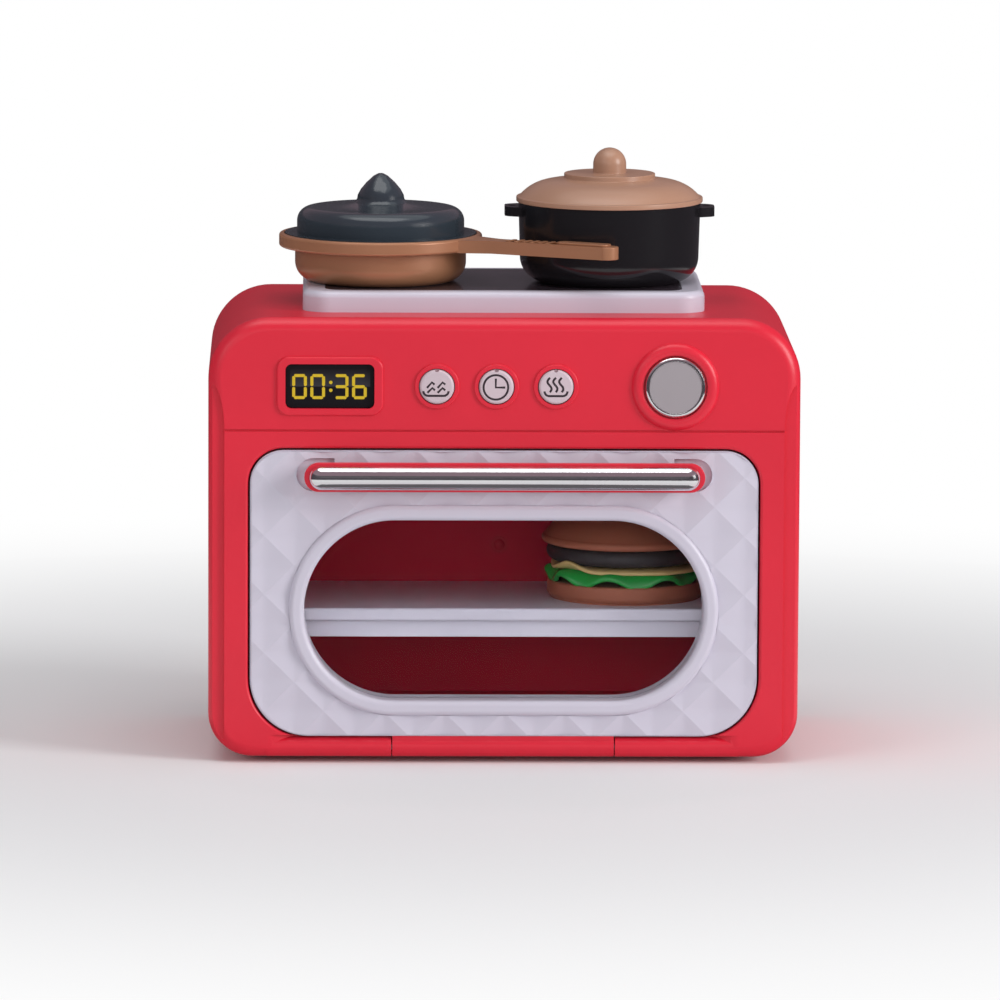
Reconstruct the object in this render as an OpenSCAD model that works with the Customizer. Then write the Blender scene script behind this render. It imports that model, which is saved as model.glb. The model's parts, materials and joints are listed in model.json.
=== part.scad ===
// Toy oven with a drop-down door, working controls, a hob and play food.
// Millimetres. Z is up and stands on the feet, X is to the right, the front looks along -Y.
// Depths called q are measured from the fascia's front plane towards the back.

/* [Housing] */
// Width of the housing
body_w = 212; // [206:1:220]
// Height of the housing without its feet
body_h = 159; // [157:1:168]
// Depth of the housing from the fascia to the back
body_d = 112; // [111:1:118]
// Radius of the upper corners seen from the front
corner_top = 22; // [18:1:26]
// Radius of the lower corners seen from the front
corner_low = 16; // [13:1:20]
// Rounding of the front edge
edge_r = 5; // [4:0.5:6]
// Rounding of the rear edge
rear_edge_r = 4; // [3:0.5:5]
// Wall thickness of the red mouldings
wall = 2.2; // [1.8:0.1:2.6]
// Depth of the rear shell
rear_d = 13; // [12:1:15]
// Height of the feet
foot_h = 2; // [1.5:0.5:3]
// Radius of the feet
foot_r = 6; // [5:0.5:8]

/* [Fascia] */
// Height of the fascia above its lower groove
fascia_h = 40.4; // [39:0.1:42]
// Width of the fascia's groove
groove_w = 0.8; // [0.6:0.1:1.2]
// Depth of the fascia's groove
groove_d = 0.8; // [0.5:0.1:1.2]
// Width of the stepped strip at each side of the door
strip_w = 5.8; // [4.5:0.1:7]
// Depth of the stepped strip
strip_d = 1.4; // [0.8:0.1:1.8]
// Height over which the strip runs out beside the fascia
strip_rise = 17; // [12:1:22]
// Height of the middle of the controls above the groove
control_rise = 16; // [15:0.5:17]
// Place of the display's middle from the left side
display_in = 43.5; // [40:0.5:46]
// Width of the display's window
display_w = 31.8; // [28:0.1:34]
// Height of the display's window
display_h = 16; // [13:0.1:17]
// Width of the raised bezel beside the display
bezel_w = 3.2; // [2.5:0.1:4]
// Width of the raised bezel above and below the display
bezel_v = 2.6; // [2:0.1:3.4]
// Height of the raised bezel
bezel_h = 1; // [0.9:0.1:1.5]
// Rounding of the bezel's outer edge
bezel_e = 0.8; // [0.4:0.1:0.9]
// Place of the middle button from the centre line
button_x = -3; // [-5:0.5:-1]
// Distance between the buttons
button_pitch = 21.3; // [20:0.1:23]
// Diameter of a button's cap
button_dia = 12.4; // [11:0.1:13]
// How far a button stands proud
button_out = 1.5; // [1.3:0.1:2]
// Travel of a button
button_travel = 1.2; // [0.8:0.1:1.4]
// Width of the flat ring round a button
collar_w = 1.9; // [1.5:0.1:2.4]
// Height of the flat ring round a button
collar_h = 0.8; // [0.6:0.1:1.2]
// Place of the knob's middle from the right side
knob_in = 45; // [43:0.5:47]
// Diameter of the knob
knob_dia = 21.8; // [20:0.2:23]
// How far the knob stands proud of the fascia
knob_out = 2.6; // [2.4:0.1:4]
// Gap between the knob and its ring
knob_gap = 0.6; // [0.4:0.1:1]
// Width of the raised ring round the knob
dial_w = 4.2; // [3.6:0.1:4.6]
// Height of the raised ring round the knob
dial_h = 1.8; // [1.2:0.1:2.1]
// Radius of the knob's shaft
shaft_r = 3; // [2.5:0.1:3.5]

/* [Door] */
// Width of the housing's front beside the door
frame_side = 15; // [13:0.5:17]
// Height of the housing's front below the door
band_h = 8; // [7.8:0.1:9]
// Height of the door
door_h = 103.4; // [101:0.2:104.4]
// Depth of the door
door_d = 13.4; // [12.4:0.2:14.4]
// Rounding of the edge of the housing's opening round the door
frame_edge = 1.2; // [1:0.1:1.4]
// Depth of the door's face behind the fascia plane
door_face = 0.8; // [0.6:0.1:1.2]
// Radius of the door's upper corners
door_r_top = 12; // [9:0.5:14]
// Radius of the door's lower corners
door_r_low = 21; // [19:0.5:23]
// Gap between the door and the housing
door_gap = 0.7; // [0.65:0.05:1]
// Thickness of the door's mouldings
door_skin = 2.2; // [1.8:0.1:2.4]
// Half width of a diamond of the quilted face
quilt_x = 10.75; // [9:0.25:12]
// Half height of a diamond of the quilted face
quilt_z = 10.6; // [9:0.1:12]
// Height of a diamond's peak above its edges
quilt_h = 0.9; // [0.6:0.1:1.2]
// Height of a row of crossings above the door's lower edge
quilt_rise = 51.4; // [48:0.2:55]

/* [Window] */
// Width of the window
window_w = 143.2; // [130:0.2:144]
// Height of the window
window_h = 65.2; // [58:0.2:66]
// Height of the window's middle above the door's lower edge
window_rise = 45.6; // [44:0.2:48]
// Width of the raised ring round the window
ring_w = 5.5; // [4.5:0.1:6.5]
// Height of the ring above the door's face
ring_h = 2.2; // [1.6:0.1:2.6]
// Thickness of the clear pane
pane_t = 1.2; // [1:0.1:1.6]
// Depth of the pane's front behind the fascia plane
pane_q = 6; // [5.6:0.1:6.4]

/* [Handle] */
// Length of the handle
handle_len = 143.2; // [130:0.2:150]
// Height of the handle's bar
handle_h = 10.4; // [10:0.1:11.6]
// Height of the handle's middle above the door's lower edge
handle_rise = 94.7; // [94:0.1:96]
// How far the handle stands proud of the fascia plane
handle_out = 12.5; // [12:0.1:14]
// Thickness of the handle's backing bar
handle_t = 2.6; // [2:0.1:3]
// Radius of the half-round chrome bar
trim_r = 4.5; // [4.2:0.05:4.8]
// Length of each post of the handle
post_len = 10; // [9:0.5:12]
// How far the posts stand in from the edge of the bar
post_in = 1; // [0.6:0.1:1.4]
// Margin of the bar round the ends of the chrome
trim_in = 1.6; // [1.2:0.1:2]
// How far each post's shallow pocket reaches beyond the end of the bar
pocket_reach = 2.8; // [2.2:0.1:3.2]
// Depth of the pockets in the door's face
pocket_d = 0.9; // [0.7:0.1:1.1]

/* [Hinge] */
// Radius of the hinge barrel
knuckle_r = 3.7; // [3.4:0.05:3.75]
// Length of the door's middle knuckle
knuckle_len = 79.6; // [70:0.2:90]
// Radius of the hinge rod
rod_r = 1.25; // [1:0.05:1.5]
// Length of the hinge rod
rod_len = 124; // [116:1:130]

/* [Oven cavity] */
// Width of the cavity
cavity_w = 160; // [156:1:163]
// Height of the cavity
cavity_h = 97; // [95:0.5:98]
// Depth of the room for the cells behind the cavity
back_room = 23; // [22.5:0.5:24]
// Thickness of the cavity liner
liner_t = 1.8; // [1.5:0.1:2]
// Height of the shelf's top above the cavity's floor
shelf_rise = 40.9; // [38:0.5:43]
// Depth of the shelf's front edge behind the fascia plane
shelf_q = 20; // [18.5:0.5:22]
// Radius of the pegs that carry the shelf
peg_r = 1.6; // [1.2:0.1:1.8]
// Height of the shelf's front lip
shelf_lip = 4.7; // [4:0.1:5.5]
// Height of the shelf's apron below the lip
apron_h = 5.9; // [5:0.1:7]
// Thickness of the shelf
shelf_t = 2.2; // [1.8:0.1:2.6]

/* [Hob] */
// Width of the hob
hob_w = 144.6; // [142:0.2:150]
// Distance of the hob's back edge from the back of the housing
hob_back = 14; // [10:0.5:16]
// Height of the hob
hob_h = 7.6; // [7:0.1:9]
// Corner radius of the hob
hob_r = 10; // [8:0.5:12]
// Place of the hob's front edge behind the fascia plane
hob_q = 18; // [16:0.5:20]
// Width of the white border round the hob's dark top
hob_border = 8; // [6:0.5:9]

/* [Cookware] */
// Distance of the pan from the centre line
pan_x = 44.2; // [43:0.2:46]
// Distance of the pot from the centre line
pot_x = 38.7; // [37.5:0.1:40]
// Radius of the pan's rim
pan_r = 36.8; // [35.8:0.1:37.2]
// Height of the pan
pan_h = 17.4; // [17:0.1:18]
// Angle of the pan's handle towards the front
pan_angle = 28; // [27.8:0.1:29]
// Reach of the pan's handle from the pan's middle
pan_reach = 95.6; // [88:0.2:98]
// Radius of the pot's rim
pot_r = 33; // [32:0.1:33.4]
// Height of the pot
pot_h = 29; // [27:0.5:31]
// Wall thickness of the cookware
pot_wall = 1.6; // [1.2:0.1:2]

/* [Play burger] */
// Distance of the burger's middle from the cavity's right wall
burger_in = 34.6; // [34:0.2:40]
// Distance of the burger's edge from the cavity's back wall
burger_back = 3.9; // [1:0.1:5]
// Radius of the upper bun
bun_r = 30.6; // [28:0.2:31]
// Height of the upper bun
bun_h = 18.5; // [16:0.5:20]

/* [Inside] */
// Radius of the screws' shanks
screw_r = 1.3; // [1.1:0.1:1.4]
// Radius of the loudspeaker
speaker_r = 17; // [15:0.5:18]
// Radius of a battery
cell_r = 7.15; // [7:0.05:7.25]
// Length of a battery
cell_len = 50.5; // [49:0.5:51]
// Place of the feet from the sides
foot_in = 28; // [24:1:34]
// Place of the front feet behind the fascia plane
foot_q = 24; // [20:1:30]
// Place of the loudspeaker from the left side seen from the front
speaker_in = 44; // [40:1:48]
// Place of the power switch from the right side seen from the front
switch_in = 68; // [60:1:72]
// Length of the screws that join the shells
shell_screw_len = 16; // [14:1:18]
// Length of the screws that hold the cavity, the board and the door's liner
short_screw_len = 8; // [7:0.5:9]

/* [Hidden] */
$fn = 64;

red = [0.86, 0.15, 0.22];
white = [0.93, 0.93, 0.95];
steel = [0.72, 0.73, 0.75];
chrome = [0.82, 0.83, 0.85];
black = [0.10, 0.10, 0.11];

// Clearances shared by every fit
loose = 0.3;
snug = 0.15;
running = 0.05;
touch = 0.02;
over = 1;

front_y = -(body_d - handle_out) / 2;
z_low = foot_h;
z_top = foot_h + body_h;
split_q = body_d - rear_d;
back_q = body_d;

display_x = display_in - body_w / 2;
knob_x = body_w / 2 - knob_in;
groove_z = z_top - fascia_h;
control_z = groove_z + control_rise;
step_half = body_w / 2 - strip_w;

door_w = body_w - 2 * frame_side;
door_z = z_low + band_h;
door_z1 = door_z + door_h;
door_back = door_face + door_d;
stop_q = door_back + 0.4;
stop_t = 2;
liner_q = stop_q + stop_t;

window_z = door_z + window_rise;
quilt_z0 = door_z + quilt_rise;
handle_z = door_z + handle_rise;
pocket_q = door_face + pocket_d;
pocket_r = handle_h / 2 + 0.7;
pocket_len = pocket_reach + post_len + 0.8;

leaf_half = 34;
leaf_t = 2.4;
hinge_q = knuckle_r + 0.2;
hinge_z = z_low + knuckle_r + 0.1;
knuckle_gap = 0.4;
knuckle_half = knuckle_len / 2;
bar_end = door_w / 2 - door_r_low + 2;
bar_run = 13;

cavity_z = door_z + 2.5;
cavity_z1 = cavity_z + cavity_h;
cavity_r_top = 8;
cavity_r_low = 16;
cavity_q = body_d - back_room;
shelf_z = cavity_z + shelf_rise;
shelf_d = cavity_q - shelf_q - snug;
shelf_half = cavity_w / 2 - 0.5;
peg_at = [shelf_q + 12, shelf_q + shelf_d - 12];

hob_z = z_top + hob_h;
hob_d = body_d - hob_q - hob_back;
pan_q = hob_q + hob_d / 2 - 3;

screw_head = 2 * screw_r;
screw_head_h = screw_r;
boss_r = screw_r + 2;
pilot_r = screw_r + touch;

// Places in front view of the screws that join the shells
shell_screw_at = [for (s = [-1, 1]) for (z = [z_low + 20, z_low + 80, z_top - corner_top + 5])
    [s * (body_w / 2 - wall - boss_r - 2.6), z]];
liner_screw_at = [for (s = [-1, 1]) for (z = [cavity_z + 26, cavity_z1 - 16])
    [s * (cavity_w / 2 + liner_t + 4.4), z]];
door_screw_at = [[0, door_z1 - 6], [-door_w / 2 + 7, door_z1 - 11.4], [door_w / 2 - 7, door_z1 - 11.4],
    [-door_w / 2 + 31, door_z + 6.4], [door_w / 2 - 31, door_z + 6.4]];
tube_w = 3.8;
leaf_top = window_z - window_h / 2 - tube_w - 1.5;
leaf_boss = 1.6;
leaf_room = leaf_t + leaf_boss + screw_head_h + loose;
hinge_screw_at = [for (x = [-24, 0, 24]) [x, leaf_top - 3.2]];
foot_at = [for (s = [-1, 1]) for (q = [foot_q, split_q - 8]) [s * (body_w / 2 - foot_in), q]];
bezel_r = 4.5;
display_r = 2.2;
board_w = 72;
board_h = 24;
board_q = 11.4;
board_t = 1.6;
board_screw_at = [for (s = [-1, 1]) for (t = [-1, 1])
    [s * (board_w / 2 - 3), control_z + t * (board_h / 2 - 3)]];
hob_screw_at = [for (s = [-1, 1]) for (t = [-1, 1])
    [s * (hob_w / 2 - 6.5), hob_q + hob_d / 2 + t * (hob_d / 2 - 7)]];

// Placing. face(q) lays a flat drawing in front view, with its thickness towards the front.
module face(q) translate([0, front_y + q, 0]) rotate([90, 0, 0]) children();
// slab(q, t) fills a front-view drawing from depth q to depth q + t.
module slab(q, t) face(q + t) linear_extrude(t) children();
// rear(q) lays a flat drawing in front view, with its thickness towards the back.
module rear(q) translate([0, front_y + q, 0]) mirror([0, 1, 0]) rotate([90, 0, 0]) children();
// axis_y puts a turned piece at a place in front view, its foot at depth q, its top towards the back.
module axis_y(x, z, q) translate([x, front_y + q, z]) rotate([-90, 0, 0]) children();
module at(x, q, z) translate([x, front_y + q, z]) children();

// Flat outlines
module outline(w, z0, z1, r1, r0) {
    h = w / 2;
    translate([-h + r0, z0]) square([w - 2 * r0, r0]);
    translate([-h, z0 + r0]) square([w, z1 - z0 - r1 - r0]);
    translate([-h + r1, z1 - r1]) square([w - 2 * r1, r1]);
    for (s = [-1, 1]) {
        translate([s * (h - r1), z1 - r1]) circle(r1, $fn = 96);
        translate([s * (h - r0), z0 + r0]) circle(r0, $fn = 96);
    }
}
module rounded(w, h, r) outline(w, -h / 2, h / 2, r, r);
module stadium(w, h) {
    square([w - h, h], center = true);
    for (s = [-1, 1]) translate([s * (w - h) / 2, 0]) circle(h / 2, $fn = 96);
}
module quarter(e) intersection() {
    circle(e);
    square([e, e]);
}

// A plate with an outline and a rounded upper edge, standing on z = 0
module cushion(w, z0, z1, r1, r0, t, e) {
    h = w / 2;
    linear_extrude(t - e) outline(w, z0, z1, r1, r0);
    translate([0, 0, t - e]) {
        linear_extrude(e) outline(w - 2 * e, z0 + e, z1 - e, r1 - e, r0 - e);
        for (c = [[h - r1, z1 - r1, r1, 0], [r1 - h, z1 - r1, r1, 90],
                [r0 - h, z0 + r0, r0, 180], [h - r0, z0 + r0, r0, 270]])
            translate([c[0], c[1], 0]) rotate(c[3])
                rotate_extrude(angle = 90, $fn = 96) translate([c[2] - e, 0]) quarter(e);
        translate([0, z1 - e, 0]) edge_bar(w - 2 * r1, e);
        translate([0, z0 + e, 0]) rotate(180) edge_bar(w - 2 * r0, e);
        for (s = [-1, 1]) translate([s * (h - e), (z0 + z1 + r0 - r1) / 2, 0])
            rotate(-90 * s) edge_bar(z1 - z0 - r0 - r1, e);
    }
}
module edge_bar(len, e) rotate([90, 0, 90]) linear_extrude(len, center = true) quarter(e);

// A round tube that follows an outline
module edge_tube(w, z0, z1, r1, r0, e) {
    h = w / 2;
    for (c = [[h - r1, z1 - r1, r1, 0], [r1 - h, z1 - r1, r1, 90],
            [r0 - h, z0 + r0, r0, 180], [h - r0, z0 + r0, r0, 270]])
        translate([c[0], c[1], 0]) rotate(c[3])
            rotate_extrude(angle = 90, $fn = 96) translate([c[2], 0]) circle(e);
    for (z = [[z1, r1], [z0, r0]]) translate([z[1] - h, z[0], 0]) rotate([0, 90, 0])
        cylinder(r = e, h = w - 2 * z[1]);
    for (s = [-1, 1]) translate([s * h, z0 + r0, 0]) rotate([-90, 0, 0])
        cylinder(r = e, h = z1 - z0 - r0 - r1);
}

// Sweeps a profile round a stadium; the profile's x is the distance out from the stadium's edge
module round_stadium(w, h) {
    r = h / 2;
    for (s = [-1, 1]) translate([s * (w / 2 - r), 0, 0]) rotate(-90 * s)
        rotate_extrude(angle = 180, $fn = 96) translate([r, 0]) children();
    for (a = [0, 180]) rotate(a) translate([0, r, 0]) rotate([90, 0, 90])
        linear_extrude(w - h, center = true) children();
}

// Screws with a domed head, the head's seat at z = 0 and the shank downwards
module screw(len, head_r = screw_head, head_h = screw_head_h) {
    cylinder(r = head_r, h = head_h * 0.6);
    translate([0, 0, head_h * 0.6]) cylinder(r1 = head_r, r2 = head_r * 0.72, h = head_h * 0.4);
    translate([0, 0, -len]) cylinder(r = screw_r, h = len);
}
module screw_back(x, z, q, len) axis_y(x, z, q) screw(len);
module screw_back_front(x, z, q, len) axis_y(x, z, q) mirror([0, 0, 1]) screw(len, 3.2);

// Housing

module shell_form(g, d) face(d) cushion(body_w - 2 * g, z_low + g, z_top - g,
    corner_top - g, corner_low - g, d - g, edge_r - g);

module inset(g) outline(body_w - 2 * g, z_low + g, z_top - g, corner_top - g, corner_low - g);

module door_outline(g) outline(door_w + 2 * g, door_z - g, door_z1 + g, door_r_top + g, door_r_low + g);

module cavity_outline(g) outline(cavity_w + 2 * g, cavity_z - g, cavity_z1 + g,
    cavity_r_top + g, cavity_r_low + g);

// The step beside the door: full width below the groove, running out in a smooth curve above it
module side_step() {
    n = 12;
    run = [for (i = [0:n]) [step_half + strip_w * (1 - cos(90 * i / n)) * 0.9,
        groove_z + strip_rise * sin(90 * i / n)]];
    for (s = [0, 1]) mirror([s, 0]) polygon(concat([[step_half, z_low - over],
        [step_half, groove_z]], run, [[body_w, groove_z + strip_rise], [body_w, z_low - over]]));
}

// The ring's crest lies nearer to its inner edge, so its outer side runs out in a long curve
module knob_ring() rotate_extrude($fn = 96) {
    r = knob_dia / 2 + knob_gap;
    half = dial_w * 0.64;
    crest = dome_r(half, dial_h);
    intersection() {
        translate([r + dial_w - half, dial_h - crest]) circle(crest);
        translate([r, 0]) square([dial_w, dial_h + over]);
    }
}

module button_ring(i) axis_y(button_x + i * button_pitch, control_z, -collar_h) rotate_extrude() {
    r = button_dia / 2 + collar_w;
    e = collar_h * 0.6;
    translate([0, e]) square([r, collar_h - e + wall / 2]);
    square([r - e, collar_h]);
    translate([r - e, e]) circle(e, $fn = 32);
}

// The flared edge of the opening round the door
module opening_edge() difference() {
    g = door_gap + frame_edge;
    slab(-over, frame_edge + over) door_outline(g);
    face(frame_edge) edge_tube(door_w + 2 * g, door_z - g, door_z1 + g,
        door_r_top + g, door_r_low + g, frame_edge);
}

module bosses(places, q0, q1, r = boss_r) for (p = places)
    axis_y(p[0], p[1], q0) cylinder(r = r, h = q1 - q0);
module pilots(places, q0, q1, r = pilot_r) for (p = places)
    axis_y(p[0], p[1], q0) cylinder(r = r, h = q1 - q0);

module front_shell() color(red) difference() {
    union() {
        difference() {
            shell_form(0, split_q);
            difference() {
                translate([0, wall, 0]) shell_form_inner();
                slab(0, liner_q) door_outline(door_gap + wall);
                knuckle_wall();
            }
            slab(-over, stop_q + over) door_outline(door_gap);
            opening_edge();
            slab(-over, liner_q + 2 * over) cavity_outline(0);
            knuckle_room();
            bar_room();
            slab(-over, strip_d + over) side_step();
            slab(-over, groove_d + over) translate([-step_half, groove_z - groove_w / 2])
                square([2 * step_half, groove_w]);
        }
        hinge_bars();
        face(wall / 2) translate([display_x, control_z, 0])
            cushion(display_w + 2 * bezel_w, -display_h / 2 - bezel_v, display_h / 2 + bezel_v,
                bezel_r, bezel_r, bezel_h + wall / 2, bezel_e);
        for (i = [-1:1]) button_ring(i);
        face(0) translate([knob_x, control_z, 0]) knob_ring();
        axis_y(knob_x, control_z, wall / 2) cylinder(r = shaft_r + 3, h = 7.5);
        bosses(board_screw_at, wall / 2, board_q);
        bosses(liner_screw_at, liner_q - stop_t / 2, liner_q + 9);
        for (p = shell_screw_at) {
            axis_y(p[0], p[1], split_q - 30) cylinder(r = boss_r, h = 30);
            rib = boss_r + 3.3;
            at(p[0] > 0 ? p[0] : p[0] - rib, split_q - 30, p[1] - 1) cube([rib, 30, 2]);
        }
    }
    slab(-2 * over, wall + 4 * over) translate([display_x, control_z])
        rounded(display_w, display_h, display_r);
    for (i = [-1:1]) axis_y(button_x + i * button_pitch, control_z, -2 * over)
        cylinder(r = button_dia / 2 + loose, h = wall + 4 * over);
    axis_y(knob_x, control_z, -over) cylinder(r = shaft_r + running, h = 12);
    pilots(board_screw_at, 3.4, board_q + over);
    pilots(liner_screw_at, liner_q + 0.6, liner_q + 10);
    pilots(shell_screw_at, split_q - 14, split_q + over);
    rod_bore(rod_r + touch);
    foot_holes();
    hob_holes();
}

module shell_form_inner() face(split_q) cushion(body_w - 2 * wall, z_low + wall, z_top - wall,
    corner_top - wall, corner_low - wall, split_q, edge_r - wall);

module knuckle_room() at(-knuckle_half - knuckle_gap, -over, -over)
    cube([knuckle_len + 2 * knuckle_gap, over + hinge_q + knuckle_r + knuckle_gap, door_z + 2 * over]);

module knuckle_wall() at(-knuckle_half - knuckle_gap - wall, 0, 0)
    cube([knuckle_len + 2 * (knuckle_gap + wall), hinge_q + knuckle_r + knuckle_gap + wall, door_z]);

module hinge_bars() for (s = [-1, 1]) {
    x0 = knuckle_half + knuckle_gap;
    len = bar_end + bar_run - x0;
    at(s > 0 ? x0 : -x0 - len, hinge_q, hinge_z) rotate([0, 90, 0]) cylinder(r = knuckle_r, h = len);
}

// Room in front of the bars, which runs out in a smooth curve towards the frame's corners
module bar_room() at(0, 0, -over) linear_extrude(door_z - door_gap + 2 * over) {
    n = 8;
    run = [for (i = [0:n]) [bar_end + bar_run * (1 - i / n), hinge_q * (1 - cos(180 * i / n)) / 2]];
    for (s = [0, 1]) mirror([s, 0]) polygon(concat([[0, -over], [bar_end + bar_run, -over]], run,
        [[0, hinge_q]]));
}

module rod_bore(r) at(-rod_len / 2 - over, hinge_q, hinge_z) rotate([0, 90, 0])
    cylinder(r = r, h = rod_len + 2 * over);

module foot_holes() for (p = foot_at) at(p[0], p[1], z_low - over)
    cylinder(r = 2.1, h = wall + 2 * over);

module hob_holes() for (p = hob_screw_at) at(p[0], p[1], z_top - wall - over)
    cylinder(r = screw_r + snug, h = wall + 2 * over);

module feet() color(black) for (p = foot_at) at(p[0], p[1], 0) {
    cylinder(r1 = foot_r - 0.6, r2 = foot_r, h = 0.6);
    translate([0, 0, 0.6]) cylinder(r = foot_r, h = foot_h - 0.6);
    translate([0, 0, foot_h]) cylinder(r = 2, h = wall);
    translate([0, 0, foot_h + wall]) cylinder(r1 = 2.5, r2 = 1.6, h = 1.2);
}

// Rear shell

battery_z = z_low + 31;
cover_w = cell_len + 14;
cover_h = 4 * cell_r + 11;
cover_screw_z = battery_z + cover_h / 2 - 2.5;
speaker_x = speaker_in - body_w / 2;
speaker_z = control_z + 1;
speaker_t = 1.9;
speaker_screw_at = [for (s = [-1, 1]) [speaker_x + s * 14.6, speaker_z + s * 12.8]];
switch_x = body_w / 2 - switch_in;
switch_z = control_z + 1;

module rear_shell() color(red) difference() {
    union() {
        difference() {
            rear(split_q) cushion(body_w, z_low, z_top, corner_top, corner_low, rear_d, rear_edge_r);
            rear(split_q - over) cushion(body_w - 2 * wall, z_low + wall, z_top - wall,
                corner_top - wall, corner_low - wall, rear_d - wall + over, rear_edge_r - wall);
        }
        // locating lip that enters the front shell
        difference() {
            union() {
                slab(split_q - 3, 3 + wall) inset(wall + snug);
                slab(split_q + touch, wall) inset(wall / 2);
            }
            slab(split_q - 3 - over, 3 + wall + 2 * over) inset(wall + snug + 1.4);
            for (p = shell_screw_at) at(p[0] > 0 ? p[0] - boss_r - 0.5 : p[0] - 12, split_q - 3 - over,
                p[1] - boss_r - 0.5) cube([boss_r + 12.5, 3 + over, 2 * boss_r + 1]);
        }
        bosses(shell_screw_at, split_q + touch, back_q - wall / 2, boss_r + 0.9);
        difference() {
            union() {
                axis_y(speaker_x, speaker_z, back_q - wall - speaker_t)
                    cylinder(r = speaker_r + 2.4, h = speaker_t + wall / 2);
                bosses(speaker_screw_at, back_q - wall - speaker_t - 0.1, back_q - wall / 2);
            }
            axis_y(speaker_x, speaker_z, back_q - wall - speaker_t - over)
                cylinder(r = speaker_r + loose, h = speaker_t + over);
        }
    }
    pilots(speaker_screw_at, back_q - wall - speaker_t - over, back_q - 1.4);
    for (p = shell_screw_at) {
        axis_y(p[0], p[1], split_q - over) cylinder(r = screw_r + snug, h = rear_d + 2 * over);
        axis_y(p[0], p[1], back_q - 6) cylinder(r = screw_head + loose, h = 6 + over);
    }
    // battery opening with a recessed rim for its cover
    slab(back_q - wall - over, wall + 2 * over) translate([0, battery_z])
        rounded(cover_w - 5, cover_h - 5, 2);
    slab(back_q - 1.4, 1.4 + over) translate([0, battery_z]) rounded(cover_w, cover_h, 4);
    axis_y(0, cover_screw_z, back_q - wall - over) cylinder(r = 2.4, h = wall + 2 * over);
    // loudspeaker grille
    axis_y(speaker_x, speaker_z, back_q - wall - over) for (ring = [0:2])
        for (i = [0:max(0, ring * 6 - 1)]) rotate(i * 360 / max(1, ring * 6))
            translate([ring * 5.2, 0, 0]) cylinder(r = 1.3, h = wall + 2 * over, $fn = 24);
    // recess and slot of the power switch
    slab(back_q - 1.2, 1.2 + over) translate([switch_x, switch_z]) rounded(18, 9, 2);
    slab(back_q - wall - over, wall + 2 * over) translate([switch_x, switch_z]) rounded(9.4, 4.2, 1);
}

// Oven cavity

module oven_liner() color([0.70, 0.10, 0.17]) difference() {
    union() {
        difference() {
            slab(liner_q, cavity_q + liner_t - liner_q) cavity_outline(liner_t);
            slab(liner_q - over, cavity_q - liner_q + over) cavity_outline(0);
        }
        for (p = liner_screw_at) slab(liner_q + 9, 2) hull() {
            translate([p[0], p[1]]) circle(boss_r);
            translate([p[0] > 0 ? cavity_w / 2 + 1 : -cavity_w / 2 - 1, p[1]])
                square([0.4, 2 * boss_r + 3], center = true);
        }
    }
    for (p = liner_screw_at) axis_y(p[0], p[1], liner_q + 8) cylinder(r = screw_r + snug, h = 4);
    shelf_pegs(touch, over);
    axis_y(0, lamp_z, cavity_q - over) cylinder(r = lamp_r + touch, h = liner_t + 2 * over);
}

lamp_r = 3;
lamp_z = door_z + 57;

// Pegs at the shelf's ends that snap into holes in the cavity's walls
module shelf_pegs(g, past) for (s = [0, 1]) mirror([s, 0, 0]) for (q = peg_at)
    at(shelf_half - 4, q, shelf_z - peg_r - 0.3) rotate([0, 90, 0])
        cylinder(r = peg_r + g, h = 4 + cavity_w / 2 - shelf_half + liner_t + past);

module shelf() color(white) {
    e = 1;
    lip_t = 2.2;
    inner = shelf_half - 4.4;
    at(-shelf_half, shelf_q, shelf_z - shelf_lip) {
        // deck with a rounded front lip
        translate([0, e, shelf_lip - shelf_t]) cube([2 * shelf_half, shelf_d - e, shelf_t]);
        translate([0, e, e]) cube([2 * shelf_half, lip_t - e, shelf_lip - 2 * e]);
        for (z = [e, shelf_lip - e]) translate([0, e, z]) rotate([0, 90, 0])
            cylinder(r = e, h = 2 * shelf_half);
        translate([0, 0, e]) cube([2 * shelf_half, e, shelf_lip - 2 * e]);
        translate([0, e, 0]) cube([2 * shelf_half, lip_t - e, lip_t - e]);
    }
    // apron set back under the lip
    at(-inner, shelf_q + lip_t, shelf_z - shelf_lip - apron_h)
        cube([2 * inner, 1.8, apron_h + shelf_lip - shelf_t / 2]);
    // stiffening ribs
    rib = 1.6;
    for (i = [-1.5:1.5]) at(i * 32 - rib / 2, shelf_q + 3, shelf_z - shelf_t - 4)
        cube([rib, shelf_d - 8, 4 + shelf_t / 2]);
    shelf_pegs(0, 0);
}

// Hob

module flat(z) translate([0, front_y, z]) children();

module hob_plate() color(white) difference() {
    union() {
        difference() {
            flat(z_top) cushion(hob_w, hob_q, hob_q + hob_d, hob_r, hob_r, hob_h, 2.5);
            flat(z_top - over) linear_extrude(hob_h - 3.4 + over)
                outline(hob_w - 4.4, hob_q + 2.2, hob_q + hob_d - 2.2, hob_r - 2.2, hob_r - 2.2);
        }
        for (p = hob_screw_at) at(p[0], p[1], z_top) cylinder(r = boss_r, h = hob_h - 2);
    }
    flat(hob_z - 1.2) linear_extrude(2)
        outline(hob_w - 2 * hob_border, hob_q + 5, hob_q + hob_d - 5, 6, 6);
    for (p = hob_screw_at) at(p[0], p[1], z_top - over) cylinder(r = pilot_r, h = hob_h - 2.4 + over);
}

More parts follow.
